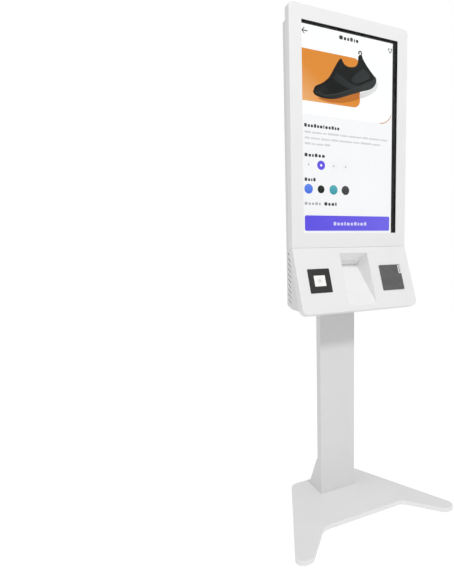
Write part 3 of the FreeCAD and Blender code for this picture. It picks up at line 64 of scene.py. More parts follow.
# ---------------------------------------------------------------- materials

NOISE_LOW, NOISE_HIGH = 0.3, 0.7  # nearly all of a noise texture's values lie between these
MIX_FIRST, MIX_SECOND, MIX_RESULT = 6, 7, 2  # the colour sockets of a mix node
BACKLIGHT_CLOUD = [0.975, 0.975, 0.975, 1]
LENS_SPOT = 24 * MM


class Graph:
    """Short calls for one material's node tree. An input's name is written with _ for each space."""

    def __init__(self, name):
        self.material = bpy.data.materials.new(name)
        self.material.use_nodes = True
        self.tree = self.material.node_tree
        self.shader = self.tree.nodes["Principled BSDF"]

    def node(self, kind, **inputs):
        made = self.tree.nodes.new(kind)
        for key, value in inputs.items():
            made.inputs[key.replace("_", " ")].default_value = value
        return made

    def link(self, source, target):
        self.tree.links.new(source, target)

    def set(self, **inputs):
        """Sets the shader's inputs to fixed values."""
        for key, value in inputs.items():
            self.shader.inputs[key.replace("_", " ")].default_value = value

    def feed(self, **sources):
        """Links each source to the shader's input of that name."""
        for key, source in sources.items():
            self.link(source, self.shader.inputs[key.replace("_", " ")])

    def place(self, scale=(1, 1, 1), shift=(0, 0, 0)):
        """The object's own coordinates, stretched by scale and then shifted."""
        source = self.node("ShaderNodeTexCoord")
        mapping = self.node("ShaderNodeMapping", Scale=scale, Location=shift)
        mapping.vector_type = "POINT"
        self.link(source.outputs["Object"], mapping.inputs["Vector"])
        return mapping.outputs["Vector"]

    def distance(self, vector):
        """How long the vector is."""
        made = self.node("ShaderNodeVectorMath")
        made.operation = "LENGTH"
        self.link(vector, made.inputs[0])
        return made.outputs["Value"]

    def noise(self, scale, detail, roughness=0.5, vector=None):
        made = self.node("ShaderNodeTexNoise", Scale=scale, Detail=detail, Roughness=roughness)
        self.link(vector or self.place(), made.inputs["Vector"])
        return made.outputs["Fac"]

    def ramp(self, factor, *stops):
        """The factor turned to a colour, by stops of (position, colour)."""
        made = self.node("ShaderNodeValToRGB")
        elements = made.color_ramp.elements
        while len(elements) < len(stops):
            elements.new(0.5)
        for element, (position, colour) in zip(elements, stops):
            element.position = position
            element.color = colour
        self.link(factor, made.inputs["Fac"])
        return made.outputs["Color"]

    def map_range(self, factor, **ends):
        """The factor moved from one range to another. Each range is 0 to 1 where ends says nothing."""
        made = self.node("ShaderNodeMapRange", **ends)
        self.link(factor, made.inputs["Value"])
        return made.outputs["Result"]

    def spread(self, noise, low, high):
        """A noise's values moved to low to high."""
        return self.map_range(noise, From_Min=NOISE_LOW, From_Max=NOISE_HIGH, To_Min=low, To_Max=high)

    def bump(self, height, distance, strength=1.0, under=None):
        made = self.node("ShaderNodeBump", Strength=strength, Distance=distance)
        self.link(height, made.inputs["Height"])
        if under:
            self.link(under, made.inputs["Normal"])
        return made.outputs["Normal"]


def powder_coat(name, hex_colour, roughness=0.42, mottle=0.012):
    """Satin powder coat: orange-peel ripple, fine grain, and slight changes of tone and gloss."""
    g = Graph(name)
    colour = linear(hex_colour)
    tone = g.ramp(g.noise(scale=9, detail=4),
                  (NOISE_LOW, shade(colour, 1 - mottle)),
                  (NOISE_HIGH, shade(colour, 1 + mottle)))
    gloss = g.spread(g.noise(scale=60, detail=3), roughness - 0.05, roughness + 0.06)
    peel = g.bump(g.noise(scale=420, detail=1.5), distance=0.12 * MM, strength=0.6)
    grain = g.bump(g.noise(scale=2600, detail=1), distance=0.03 * MM, strength=0.5, under=peel)
    g.feed(Base_Color=tone, Roughness=gloss, Normal=grain)
    g.set(Coat_Weight=0.12, Coat_Roughness=0.25)
    return g.material


def metal(name, colour, roughness, stretch=(1, 1, 1), scale=700, metallic=1.0):
    """Metal with grain, drawn out along one direction where stretch says so."""
    g = Graph(name)
    grain = g.noise(scale, detail=4, roughness=0.6, vector=g.place(stretch))
    tone = g.ramp(grain, (NOISE_LOW, shade(colour, 0.86)), (NOISE_HIGH, shade(colour, 1.1)))
    gloss = g.spread(grain, roughness - 0.08, roughness + 0.1)
    g.feed(Base_Color=tone, Roughness=gloss, Normal=g.bump(grain, distance=0.02 * MM, strength=0.5))
    g.set(Metallic=metallic)
    return g.material


def moulded(name, hex_colour, roughness, grain_depth=0.05 * MM, grain_scale=1900, mottle=0.16):
    """Moulded plastic or rubber: spark-eroded grain, with duller and cleaner patches."""
    g = Graph(name)
    colour = linear(hex_colour)
    patch = g.noise(scale=35, detail=4)
    tone = g.ramp(patch, (0.35, shade(colour, 1 - mottle)), (0.65, shade(colour, 1 + mottle)))
    gloss = g.spread(patch, roughness - 0.06, roughness + 0.08)
    pits = g.node("ShaderNodeTexVoronoi", Scale=grain_scale)
    g.link(g.place(), pits.inputs["Vector"])
    grain = g.bump(pits.outputs["Distance"], distance=grain_depth, strength=0.6)
    g.feed(Base_Color=tone, Roughness=gloss, Normal=grain)
    return g.material


def lit(name, first, second, direction=UP, across=0.1, strength=1.0, centre=(0, 0, 0)):
    """A lit surface: its colour drifts to a second one over a distance, with a faint uneven backlight."""
    g = Graph(name)
    along = g.node("ShaderNodeVectorMath")
    along.operation = "DOT_PRODUCT"
    along.inputs[1].default_value = direction
    g.link(g.place(shift=[-c for c in centre]), along.inputs[0])
    drift = g.map_range(along.outputs["Value"], From_Max=across)
    colour = g.ramp(drift, (0.0, linear(first)), (1.0, linear(second)))
    cloud = g.ramp(g.noise(scale=7, detail=2), (NOISE_LOW, BACKLIGHT_CLOUD), (NOISE_HIGH, WHITE))
    mix = g.node("ShaderNodeMix", Factor=1.0)
    mix.data_type = "RGBA"
    mix.blend_type = "MULTIPLY"
    g.link(colour, mix.inputs[MIX_FIRST])
    g.link(cloud, mix.inputs[MIX_SECOND])
    g.feed(Emission_Color=mix.outputs[MIX_RESULT])
    g.set(Base_Color=[0.01, 0.01, 0.01, 1], Roughness=0.5, Emission_Strength=strength,
          Specular_IOR_Level=0.0)
    return g.material


def clear_glass(name):
    """Toughened cover glass: clear, with faint wiped smears in its gloss."""
    g = Graph(name)
    g.feed(Roughness=g.spread(g.noise(scale=14, detail=5, roughness=0.6), 0.015, 0.05))
    g.set(Base_Color=[0.97, 0.985, 0.98, 1], Transmission_Weight=1.0, IOR=1.18, Specular_IOR_Level=0.12)
    return g.material


def window_plate(name, node):
    """The scanner's frosted window, greyer where its lens sits behind."""
    low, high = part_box(node)
    middle = (low + high) / 2
    g = Graph(name)
    spot = g.map_range(g.distance(g.place(shift=[-c for c in middle])), From_Max=LENS_SPOT)
    colour = g.ramp(spot, (0.0, linear("D4D4D2")), (0.3, linear("F0F0EE")), (0.5, linear("FCFCFA")))
    frost = g.bump(g.noise(scale=1500, detail=1), distance=0.03 * MM, strength=0.5)
    g.feed(Base_Color=colour, Normal=frost)
    g.set(Roughness=0.3, Coat_Weight=0.4, Coat_Roughness=0.08)
    return g.material


def board(name):
    """Green solder mask over copper traces."""
    g = Graph(name)
    traces = g.node("ShaderNodeTexBrick", Scale=260, Mortar_Size=0.03, Color1=linear("0F5A34"),
                    Color2=linear("0B4A2A"), Mortar=linear("2F8A55"))
    g.link(g.place(), traces.inputs["Vector"])
    relief = g.bump(g.noise(scale=900, detail=2), distance=0.05 * MM)
    g.feed(Base_Color=traces.outputs["Color"], Normal=relief)
    g.set(Roughness=0.35)
    return g.material


def wound_paper(name, node):
    """The paper roll: fine turns on its ends, plain fibres round it."""
    low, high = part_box(node)
    middle = (low + high) / 2
    g = Graph(name)
    wave = g.node("ShaderNodeTexWave", Scale=420, Distortion=0.6)
    wave.wave_type = "RINGS"
    wave.rings_direction = "X"
    g.link(g.place((0, 1, 1), (0, -middle.y, -middle.z)), wave.inputs["Vector"])
    turns = g.ramp(wave.outputs["Fac"], (0.2, linear("D8D4C8")), (0.8, linear("F6F4EC")))
    g.feed(Base_Color=turns, Normal=g.bump(g.noise(scale=1200, detail=3), distance=0.06 * MM))
    g.set(Roughness=0.8)
    return g.material


MATERIALS = {
    "white_paint": powder_coat("white_powder_coat", "EDEDED"),
    "column_paint": powder_coat("column_powder_coat", "DEDEDE"),
    "bracket_paint": powder_coat("bracket_powder_coat", "E6E6E6", roughness=0.48),
    "zinc_steel": metal("zinc_plated_steel", [0.62, 0.63, 0.65, 1], 0.36, stretch=(1, 1, 0.05)),
    "dark_steel": metal("black_oxide_steel", [0.05, 0.05, 0.055, 1], 0.45, scale=1400, metallic=0.6),
    "black_plastic": moulded("black_moulded_plastic", "1C1C1D", 0.5),
    "dark_gloss": moulded("dark_reader_cover", "5D5D5D", 0.25, grain_depth=0.01 * MM, grain_scale=900,
                          mottle=0.06),
    "window": window_plate("frosted_window", "scanner_window"),
    "screen_glass": clear_glass("cover_glass"),
    "display": moulded("display_black_border", "0B0B0C", 0.55),
    "rubber": moulded("black_rubber", "2A2A2A", 0.8, grain_depth=0.1 * MM, grain_scale=1100),
    "module_plastic": moulded("dark_module_plastic", "2F2F31", 0.55),
    "cast_case": metal("bead_blasted_aluminium", [0.55, 0.56, 0.57, 1], 0.5, scale=1800),
    "board_green": board("green_circuit_board"),
    "paper_white": wound_paper("wound_thermal_paper", "paper_roll"),
    "key_metal": metal("nickel_lock_metal", [0.55, 0.55, 0.56, 1], 0.28, scale=900),
}
# Copies of the white powder coat whose tones are painted light: the darker ones stand in for shade, the
# lighter one for light.
PAINTED_LIGHT_COATS = {
    # The housing shell: the white coat made greyer, painted shade for its dimmer flank.
    "rear_shell": powder_coat("housing_coat_painted_shade", "E4E4E4"),
    # The side pocket: the white coat made greyer still, painted shade inside the recess.
    "side_pocket": powder_coat("pocket_coat_painted_shade", "DEDEDE"),
    # The ticket recess: the white coat made lighter than the console's, painted light inside the recess.
    "ticket_recess": powder_coat("recess_coat_painted_light", "F5F5F5"),
}


def dress_cad_nodes():
    """Gives every CAD node its slot's finish; the housing and its side pocket get darker copies of the white
    coat as painted shade, and the ticket recess a lighter copy as painted light.
    """
    for part in record["subparts"]:
        name = part["node"]
        material = PAINTED_LIGHT_COATS.get(name, MATERIALS[part["material_slot"]])
        item = nodes[name]
        if not item.material_slots:
            item.data.materials.append(material)
        for place in item.material_slots:
            place.material = material


# ---------------------------------------------------------------- outlines


def arc(x, z, radius, start, end, steps=16):
    """Points of an arc about (x, z), from start to end in degrees."""
    turns = [math.radians(start + (end - start) * k / steps) for k in range(steps + 1)]
    return [(x + radius * math.cos(turn), z + radius * math.sin(turn)) for turn in turns]


def disc(x, z, radius, steps=40):
    """Points of a whole circle about (x, z)."""
    return arc(x, z, radius, 0, 360, steps)[:-1]


def rounded(left, low, right, high, radius=0.0, steps=8, corners="abcd"):
    """Points of a rectangle, anticlockwise from lower left; a, b, c, d name the rounded corners."""
    spots = (
        (left, low, 1, 1, 180, "a"),
        (right, low, -1, 1, 270, "b"),
        (right, high, -1, -1, 0, "c"),
        (left, high, 1, -1, 90, "d"),
    )
    points = []
    for x, z, inward_x, inward_z, start, corner in spots:
        if radius == 0 or corner not in corners:
            points.append((x, z))
        else:
            points += arc(x + inward_x * radius, z + inward_z * radius, radius, start, start + 90, steps)
    return points


def stroke(points, width):
    """A band of that width along a line of points."""
    left, right = [], []
    for index, (x, z) in enumerate(points):
        before = points[max(0, index - 1)]
        after = points[min(len(points) - 1, index + 1)]
        along = Vector((after[0] - before[0], after[1] - before[1])).normalized()
        side = Vector((-along.y, along.x)) * width / 2
        left.append((x + side.x, z + side.y))
        right.append((x - side.x, z - side.y))
    return left + right[::-1]


def smooth_outline(points, steps=6):
    """A closed Catmull-Rom line through the points."""
    count = len(points)
    made = []
    for index in range(count):
        p0, p1, p2, p3 = (Vector(points[(index + k) % count]) for k in (-1, 0, 1, 2))
        for step in range(steps):
            t = step / steps
            line = 2 * p1 + (p2 - p0) * t
            bend = (2 * p0 - 5 * p1 + 4 * p2 - p3) * t * t
            twist = (3 * p1 - p0 - 3 * p2 + p3) * t ** 3
            made.append(tuple(0.5 * (line + bend + twist)))
    return made


BLOCK_GAP = 0.42
LOW_BLOCK = 0.8
BLOCK_ROUNDING = 0.3


def word_blocks(left, right, middle, height, widths):
    """A line of blank blocks in the rhythm of words: every third one is taller than the rest."""
    unit = (right - left) / (sum(widths) + BLOCK_GAP * (len(widths) - 1))
    foot = middle - height / 2
    blocks = []
    x = left
    for index, width in enumerate(widths):
        end = x + width * unit
        top = foot + height * (1.0 if index % 3 == 0 else LOW_BLOCK)
        blocks.append(rounded(x, foot, end, top, min(height, end - x) * BLOCK_ROUNDING, 4))
        x = end + BLOCK_GAP * unit
    return blocks


# ---------------------------------------------------------------- the screen's picture
# Places on the screen are in mm: across from the kiosk's middle, and up from the floor.

LAYER = 0.04 * MM
SCREEN_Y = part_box("display_panel")[0].y

PICTURE_LEFT, PICTURE_RIGHT = -203.0, 183.5
PICTURE_LOW, PICTURE_TOP = 1084.0, 1784.5
CARD_LOW, CARD_CORNER = 1492.5, 55
CARD_LINE_WIDTH = 2.8
BANNER_RIGHT, BANNER_LOW, BANNER_TOP, BANNER_CORNER = 38, 1537, 1706.5, 27
BUTTON_LEFT, BUTTON_RIGHT, BUTTON_LOW, BUTTON_TOP, BUTTON_CORNER = -193.5, 175.5, 1094, 1148.5, 6

ARROW_SHAFT = ((-196, 1762.5), (-175, 1762.5))
ARROW_HEAD = ((-187, 1753), (-196.3, 1762.5), (-187, 1772))
ARROW_WIDTH = 3.4
HEART = ((172, 1749), (181, 1760), (178.5, 1767), (172, 1762.5), (165.5, 1767), (163, 1760))
HEART_MIDDLE = (172, 1758.5)
HEART_HOLLOW = 0.62

CHOICE_HEIGHT = 1324
OPEN_CHOICES, OPEN_RADIUS = (-176, -74, -24), 17
TAKEN_CHOICE, TAKEN_RADIUS = -126, 16

SWATCH_HEIGHT = 1240.5
SWATCHES = (  # word, two colours, middle across, radius
    ("blue", "4F79E8", "6189F0", -177, 17),
    ("black", "1B221B", "262D26", -127, 14),
    ("teal", "459FAF", "55AFBC", -75.5, 17),
    ("graphite", "3F3F42", "4B4B4E", -25, 16.5),
)

# A line of words: left, right, middle height, block height, and the blocks' widths beside each other.
TITLE = (-50, 30, 1766, 13, (1.5, 1, 0.8, 1.1, 0.5, 1))
HEADINGS = (
    (-191.5, -51, 1456, 12, (1.2, 1, 1, 1.1, 0.9, 1.2, 0.5, 1.2, 1, 1.1, 0.8, 1)),
    (-191.5, -111, 1356.5, 12, (1.2, 1, 0.7, 1.1, 1, 1.2)),
    (-192.5, -149, 1273, 12, (1.2, 1, 0.6, 1.1)),
    (-114, -63, 1190, 12, (1.3, 1, 1.2, 0.6)),
)
PARAGRAPH = (
    (-190.5, 162, 1433.5, 7, (3, 5, 2, 6, 4, 7, 3, 6, 4)),
    (-190.5, 130, 1414, 7, (2, 4, 4, 3, 6, 3, 5, 4)),
    (-190.5, -88, 1395, 7, (3, 2, 4, 3)),
)
LABEL = (-193.5, -129, 1190, 10, (1.2, 1, 1, 1.1, 0.8))
BUTTON_WORDS = (-76, 68, 1120, 13, (1.1, 1, 1, 0.6, 1.2, 1, 1.1, 0.7, 1.2, 1))

PAINTS = {
    "white": lit("screen_white", "FFFFFF", "FBFBFC", across=0.4, strength=1.08),
    "pale": lit("screen_pale_grey", "FBFAFC", "FDFCFE", across=0.3, centre=(0, 0, 1.1)),
    "orange": lit("screen_orange", "F3B375", "E58F37", (0.6, 0, 0.8), centre=(-0.18, 0, 1.53)),
    "orange_line": lit("screen_orange_line", "DB8E3C", "CF7F2A", across=0.05),
    "ink": lit("screen_ink", "4A4A4E", "3E3E43", across=0.3),
    "soft_ink": lit("screen_soft_ink", "CFCFD3", "DADADD", across=0.3),
    "grey_ink": lit("screen_grey_ink", "A6A6AA", "B2B2B6", across=0.3),
    "purple": lit("screen_purple", "6152E6", "7468EC", ACROSS, across=0.38, centre=(-0.19, 0, 0)),
    "pale_ink": lit("screen_pale_ink", "CFC9F8", "D8D3FA", across=0.3),
    "ring": lit("screen_ring", "FDFDFE", "F9F9FB", across=0.02),
}
for word, first, second, _, _ in SWATCHES:
    PAINTS[word] = lit(f"screen_{word}", first, second, across=0.02, centre=(0, 0, 1.23))


def picture_piece(name, layer, groups):
    """One flat piece of the screen's picture: groups is a list of (paint, outlines)."""
    mesh = bpy.data.meshes.new(name)
    built = bmesh.new()
    y = SCREEN_Y - (layer + 1) * LAYER
    for number, (paint, outlines) in enumerate(groups):
        mesh.materials.append(PAINTS[paint])
        for outline in outlines:
            corners = [built.verts.new((x * MM, y, z * MM)) for x, z in outline]
            face = built.faces.new(corners)
            face.material_index = number
    bmesh.ops.triangulate(built, faces=built.faces[:])
    for face in built.faces:
        face.normal_update()
        if face.normal.y > 0:
            face.normal_flip()
    built.to_mesh(mesh)
    built.free()
    piece = bpy.data.objects.new(name, mesh)
    bpy.context.scene.collection.objects.link(piece)
    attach(piece, STAND)
    return piece


def build_page():
    """The page, the white card at its top with an orange line at one corner, and the orange banner."""
    page = rounded(PICTURE_LEFT, PICTURE_LOW, PICTURE_RIGHT, PICTURE_TOP)
    card = rounded(PICTURE_LEFT, CARD_LOW, PICTURE_RIGHT, PICTURE_TOP, CARD_CORNER, 14, "b")
    corner_line = arc(PICTURE_RIGHT - CARD_CORNER, CARD_LOW + CARD_CORNER, CARD_CORNER - 1, -92, -22)
    banner = rounded(PICTURE_LEFT, BANNER_LOW, BANNER_RIGHT, BANNER_TOP, BANNER_CORNER, 12, "bc")
    picture_piece("screen_background", 0, [("pale", [page])])
    picture_piece("screen_card", 1, [("white", [card])])
    picture_piece("screen_card_line", 2, [("orange_line", [stroke(corner_line, CARD_LINE_WIDTH)])])
    picture_piece("screen_banner", 2, [("orange", [banner])])


def build_icons():
    """The back arrow, the title and the outlined heart along the top."""
    arrow = [stroke(ARROW_SHAFT, ARROW_WIDTH), stroke(ARROW_HEAD, ARROW_WIDTH)]
    heart = smooth_outline(HEART)
    middle_x, middle_z = HEART_MIDDLE
    hollow = [(middle_x + (x - middle_x) * HEART_HOLLOW, middle_z + (z - middle_z) * HEART_HOLLOW)
              for x, z in heart]
    picture_piece("screen_icons", 2, [("ink", [*arrow, *word_blocks(*TITLE), heart])])
    picture_piece("screen_heart_fill", 3, [("white", [hollow])])


def build_words():
    """Headings, paragraph and label, all as blank blocks."""
    headings = [block for line in HEADINGS for block in word_blocks(*line)]
    paragraph = [block for line in PARAGRAPH for block in word_blocks(*line)]
    picture_piece("screen_text", 2, [
        ("ink", headings), ("soft_ink", paragraph), ("grey_ink", word_blocks(*LABEL))])


def choice_mark(x, half_width, half_height, radius, steps):
    """A small rounded mark in the middle of a choice."""
    return rounded(x - half_width, CHOICE_HEIGHT - half_height, x + half_width,
                   CHOICE_HEIGHT + half_height, radius, steps)


def build_choices():
    """A row of round choices, one of them taken, and the row of colour swatches below."""
    picture_piece("screen_choices", 2, [
        ("ring", [disc(x, CHOICE_HEIGHT, OPEN_RADIUS) for x in OPEN_CHOICES]),
        ("purple", [disc(TAKEN_CHOICE, CHOICE_HEIGHT, TAKEN_RADIUS)])])
    picture_piece("screen_choice_marks", 3, [
        ("grey_ink", [choice_mark(x, 2.5, 3, radius=2, steps=4) for x in OPEN_CHOICES]),
        ("white", [choice_mark(TAKEN_CHOICE, 4, 4, radius=3, steps=5)])])
    picture_piece("screen_swatches", 2, [
        (word, [disc(x, SWATCH_HEIGHT, radius)]) for word, _, _, x, radius in SWATCHES])


def build_button():
    """The wide purple button with its blank words."""
    button = rounded(BUTTON_LEFT, BUTTON_LOW, BUTTON_RIGHT, BUTTON_TOP, BUTTON_CORNER, 6)
    picture_piece("screen_button", 2, [("purple", [button])])
    picture_piece("screen_button_text", 3, [("pale_ink", word_blocks(*BUTTON_WORDS))])


# ---------------------------------------------------------------- the shoe in the picture

PAINTS.update({
    "upper": lit("screen_shoe_upper", "0A0B0B", "1B1E1E", (0.3, 0, 0.95), 0.12, centre=(-0.05, 0, 1.58)),
    "knit": lit("screen_shoe_knit", "2A2E2E", "202424", (0.4, 0, 0.9), 0.1, centre=(-0.1, 0, 1.6)),
    "band": lit("screen_shoe_band", "1F2323", "303535", (1, 0, 0.3), 0.15, centre=(-0.1, 0, 1.6)),
    "sole": lit("screen_shoe_sole", "171A1A", "353A3A", (1, 0, 0.4), 0.22, centre=(-0.12, 0, 1.56)),
    "sole_edge": lit("screen_shoe_sole_edge", "4A5050", "2E3333", ACROSS, 0.2, centre=(-0.12, 0, 0)),
    "shadow": lit("screen_shoe_shadow", "CC7A30", "C47228", across=0.05),
    "pale_shadow": lit("screen_shoe_shadow_pale", "DEDEDF", "E8E8E9", ACROSS, 0.06, centre=(0.04, 0, 0)),
})

SHOE_BODY = (
    (-154, 1571), (-146, 1589), (-118, 1604), (-92, 1626), (-68, 1664), (-52, 1688), (-41, 1696),
    (-31, 1681), (-12, 1673), (14, 1677), (27, 1690), (31, 1716), (44, 1722), (50, 1710), (66, 1690),
    (84, 1672), (104, 1652), (100, 1636), (80, 1622), (40, 1606), (-20, 1583), (-75, 1566), (-120, 1559),
    (-146, 1563))
SHOE_SOLE = (
    (-156, 1572), (-148, 1560), (-118, 1553), (-70, 1556), (-20, 1572), (40, 1594), (82, 1608),
    (104, 1626), (110, 1646), (103, 1656), (94, 1644), (74, 1632), (38, 1616), (-20, 1591), (-75, 1571),
    (-120, 1564), (-146, 1572))
SHOE_RIM = ((-146, 1570), (-112, 1563), (-70, 1570), (-20, 1589), (38, 1614), (74, 1630), (94, 1643))
SHOE_COLLAR = ((-40, 1690), (-28, 1676), (-10, 1668), (14, 1671), (27, 1684))
SHOE_STRAP = ((-74, 1634), (-52, 1642), (-8, 1620), (30, 1612), (22, 1600), (-20, 1602), (-62, 1618))
SHOE_QUARTER = ((2, 1634), (40, 1668), (62, 1672), (82, 1652), (60, 1636), (20, 1622))
SHOE_TOE = ((-149, 1574), (-130, 1590), (-106, 1598), (-96, 1586), (-114, 1570), (-140, 1565))
SHADOW_ON_BANNER = (
    (-138, 1551), (-100, 1543), (-50, 1545), (0, 1556), (34, 1570), (34, 1592), (0, 1578), (-60, 1560),
    (-110, 1554))
SHADOW_ON_CARD = ((40, 1572), (72, 1584), (106, 1606), (118, 1632), (108, 1636), (84, 1608), (40, 1590))
STITCHES = 6
STITCH_WIDTH = 1.3
RIM_WIDTH = 2.2
COLLAR_WIDTH = 2.6
LOOP_WIDTH = 3.4


def stitches(start, start_step, end, end_step):
    """A row of short threads: each one's two ends move on by a step from the one before."""
    made = []
    for k in range(STITCHES):
        foot = (start[0] + start_step[0] * k, start[1] + start_step[1] * k)
        head = (end[0] + end_step[0] * k, end[1] + end_step[1] * k)
        made.append(stroke([foot, head], STITCH_WIDTH))
    return made


def build_shoe():
    """A plain black slip-on shoe of no make, toe to the left."""
    loop = stroke(arc(38, 1727, 6.5, -50, 230, 20), LOOP_WIDTH)
    panels = [smooth_outline(SHOE_QUARTER), smooth_outline(SHOE_TOE)]
    ribs = stitches((-108, 1602), (9, 5.6), (-92, 1590), (9, 5.2))
    weave = stitches((2, 1636), (10, 5), (18, 1628), (9, 4))
    collar = stroke(SHOE_COLLAR, COLLAR_WIDTH)
    picture_piece("screen_shoe_shadow", 3, [
        ("shadow", [smooth_outline(SHADOW_ON_BANNER)]), ("pale_shadow", [smooth_outline(SHADOW_ON_CARD)])])
    picture_piece("screen_shoe_loop", 3, [("upper", [loop])])
    picture_piece("screen_shoe_body", 4, [("upper", [smooth_outline(SHOE_BODY)])])
    picture_piece("screen_shoe_panels", 5, [("band", panels), ("knit", ribs)])
    picture_piece("screen_shoe_strap", 6, [
        ("band", [smooth_outline(SHOE_STRAP)]), ("knit", [*weave, collar])])
    picture_piece("screen_shoe_sole", 7, [("sole", [smooth_outline(SHOE_SOLE)])])
    picture_piece("screen_shoe_seams", 8, [("sole_edge", [stroke(SHOE_RIM, RIM_WIDTH)])])


# ---------------------------------------------------------------- the reader's status lamp

CONSOLE_TILT = 20
LAMP_FROM_EDGE, LAMP_FROM_TOP = 6.5 * MM, 19 * MM
LAMP_HALF_WIDTH, LAMP_HALF_HEIGHT, LAMP_BAND = 5.5 * MM, 17 * MM, 3.4 * MM
LAMP_PROUD, LAMP_SUNK = 0.2 * MM, 0.2 * MM


def reach(item, direction):
    """How far the item's vertices reach from the origin along a direction."""
    return max((item.matrix_world @ vertex.co).dot(direction) for vertex in item.data.vertices)


def build_reader_lamp():
    """A slim white light ring standing just proud of the reader's cover, at its upper right."""
    cover = nodes["reader_cover"]
    cover_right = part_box("reader_cover")[1].x
    tilt = math.radians(CONSOLE_TILT)
    upward = Vector((0, math.sin(tilt), math.cos(tilt)))
    outward = Vector((0, -math.cos(tilt), math.sin(tilt)))
    middle_x = cover_right - LAMP_FROM_EDGE
    middle_up = reach(cover, upward) - LAMP_FROM_TOP
    face = reach(cover, outward)
    outer = rounded(-LAMP_HALF_WIDTH, -LAMP_HALF_HEIGHT, LAMP_HALF_WIDTH, LAMP_HALF_HEIGHT, LAMP_HALF_WIDTH)
    narrow = (LAMP_HALF_WIDTH - LAMP_BAND) / LAMP_HALF_WIDTH
    short = (LAMP_HALF_HEIGHT - LAMP_BAND) / LAMP_HALF_HEIGHT
    inner = [(x * narrow, z * short) for x, z in outer]
    built = bmesh.new()
    rings = []
    for outline, out in ((outer, -LAMP_SUNK), (outer, LAMP_PROUD), (inner, LAMP_PROUD), (inner, -LAMP_SUNK)):
        spots = [Vector((middle_x + x, 0, 0)) + upward * (middle_up + z) + outward * (face + out)
                 for x, z in outline]
        rings.append([built.verts.new(spot) for spot in spots])
    count = len(outer)
    for here, there in zip(rings, rings[1:] + rings[:1]):
        for k in range(count):
            built.faces.new((here[k], here[(k + 1) % count], there[(k + 1) % count], there[k]))
    bmesh.ops.recalc_face_normals(built, faces=built.faces[:])
    mesh = bpy.data.meshes.new("reader_status_lamp")
    built.to_mesh(mesh)
    built.free()
    mesh.materials.append(lit("reader_lamp_light", "FFFFFF", "F2F2F2", across=0.02))
    lamp = bpy.data.objects.new("reader_status_lamp", mesh)
    bpy.context.scene.collection.objects.link(lamp)
    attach(lamp, CONSOLE)


# ---------------------------------------------------------------- stage, light and camera

FLOOR_HALF = 9.0
FLOOR_DROP = 0.4 * MM
FADE_START, FADE_END = 1.6, 6.0
FLOOR_LIGHT, FLOOR_SEEN = 0.58, 0.78  # the floor's glow as the kiosk meets it, and as the camera does
BACKDROP, AMBIENT = 1.0, 0.6

CAMERA_SPOT = Vector((-0.9515, -1.4864, 1.0686))
CAMERA_YAW, CAMERA_PITCH, CAMERA_ROLL = (math.radians(a) for a in (28.26, -7.2, -0.54))
SENSOR_WIDTH, LENS = 36.0, 29.5
SHIFT_ACROSS, SHIFT_UP = -0.1554, 0.0218
CLIP_NEAR, CLIP_FAR = 0.02, 60.0


def floor_paint():
    """Pale matt paint with a glow of its own, fading out far from the kiosk."""
    g = Graph("studio_floor_paint")
    fade = g.map_range(g.distance(g.place()), From_Min=FADE_START, From_Max=FADE_END, To_Min=1.0, To_Max=0.0)
    tone = g.ramp(g.noise(scale=3, detail=3), (NOISE_LOW, linear("9C9C9C")), (NOISE_HIGH, linear("A0A0A0")))
    path = g.node("ShaderNodeLightPath")
    glow = g.map_range(path.outputs["Is Camera Ray"], To_Min=FLOOR_LIGHT, To_Max=FLOOR_SEEN)
    g.feed(Alpha=fade, Base_Color=tone, Emission_Strength=glow)
    g.set(Roughness=0.75, Specular_IOR_Level=0.1, Emission_Color=WHITE)
    return g.material


def build_stage():
    """A wide pale floor, just below the foot pads."""
    corners = [(-FLOOR_HALF, -FLOOR_HALF, 0), (FLOOR_HALF, -FLOOR_HALF, 0),
               (FLOOR_HALF, FLOOR_HALF, 0), (-FLOOR_HALF, FLOOR_HALF, 0)]
    mesh = bpy.data.meshes.new("studio_floor")
    mesh.from_pydata(corners, [], [(0, 1, 2, 3)])
    mesh.materials.append(floor_paint())
    floor = bpy.data.objects.new("studio_floor", mesh)
    bpy.context.scene.collection.objects.link(floor)
    floor.location.z = -FLOOR_DROP


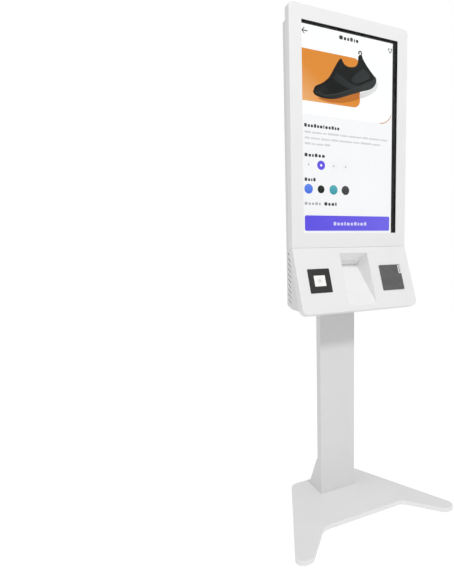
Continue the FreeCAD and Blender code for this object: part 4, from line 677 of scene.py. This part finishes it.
def build_world():
    """White backdrop for the eye, softer white light from all round."""
    world = bpy.data.worlds.new("studio")
    bpy.context.scene.world = world
    world.use_nodes = True
    tree = world.node_tree
    seen = tree.nodes["Background"]
    light = tree.nodes.new("ShaderNodeBackground")
    for background, strength in ((seen, BACKDROP), (light, AMBIENT)):
        background.inputs["Color"].default_value = WHITE
        background.inputs["Strength"].default_value = strength
    path = tree.nodes.new("ShaderNodeLightPath")
    mix = tree.nodes.new("ShaderNodeMixShader")
    tree.links.new(path.outputs["Is Camera Ray"], mix.inputs[0])
    tree.links.new(light.outputs[0], mix.inputs[1])
    tree.links.new(seen.outputs[0], mix.inputs[2])
    tree.links.new(mix.outputs[0], tree.nodes["World Output"].inputs["Surface"])


def area_light(name, location, target, size, power):
    """A round soft light that looks at its target."""
    data = bpy.data.lights.new(name, "AREA")
    data.shape = "DISK"
    data.size = size
    data.energy = power
    lamp = bpy.data.objects.new(name, data)
    bpy.context.scene.collection.objects.link(lamp)
    lamp.location = location
    lamp.rotation_mode = "QUATERNION"
    lamp.rotation_quaternion = (Vector(target) - Vector(location)).to_track_quat("-Z", "Y")


def build_lights():
    """A high key in front, and a broad fill from the left."""
    area_light("key_light", location=(-0.2, -3.9, 4.2), target=(0, 0, 1.2), size=0.7, power=92)
    area_light("left_fill", location=(-4.5, 0.4, 2.2), target=(0, 0, 1.1), size=2.5, power=23)


def build_camera():
    """The camera, in front of the kiosk and to its left, looking slightly down."""
    data = bpy.data.cameras.new("camera")
    data.sensor_width = SENSOR_WIDTH
    data.lens = LENS
    data.shift_x, data.shift_y = SHIFT_ACROSS, SHIFT_UP
    data.clip_start, data.clip_end = CLIP_NEAR, CLIP_FAR
    camera = bpy.data.objects.new("camera", data)
    bpy.context.scene.collection.objects.link(camera)
    level_forward = Vector((math.sin(CAMERA_YAW), math.cos(CAMERA_YAW), 0))
    forward = level_forward * math.cos(CAMERA_PITCH) + Vector(UP) * math.sin(CAMERA_PITCH)
    level = Vector((math.cos(CAMERA_YAW), -math.sin(CAMERA_YAW), 0))
    up = level.cross(forward)
    right = math.cos(CAMERA_ROLL) * level + math.sin(CAMERA_ROLL) * up
    above = math.cos(CAMERA_ROLL) * up - math.sin(CAMERA_ROLL) * level
    turn = Matrix((right, above, -forward)).transposed().to_4x4()
    camera.matrix_world = Matrix.Translation(CAMERA_SPOT) @ turn
    bpy.context.scene.camera = camera


build_camera()
build_world()
build_lights()
build_stage()
dress_cad_nodes()
build_page()
build_icons()
build_words()
build_choices()
build_button()
build_shoe()
build_reader_lamp()
bpy.context.scene.view_settings.view_transform = "Standard"
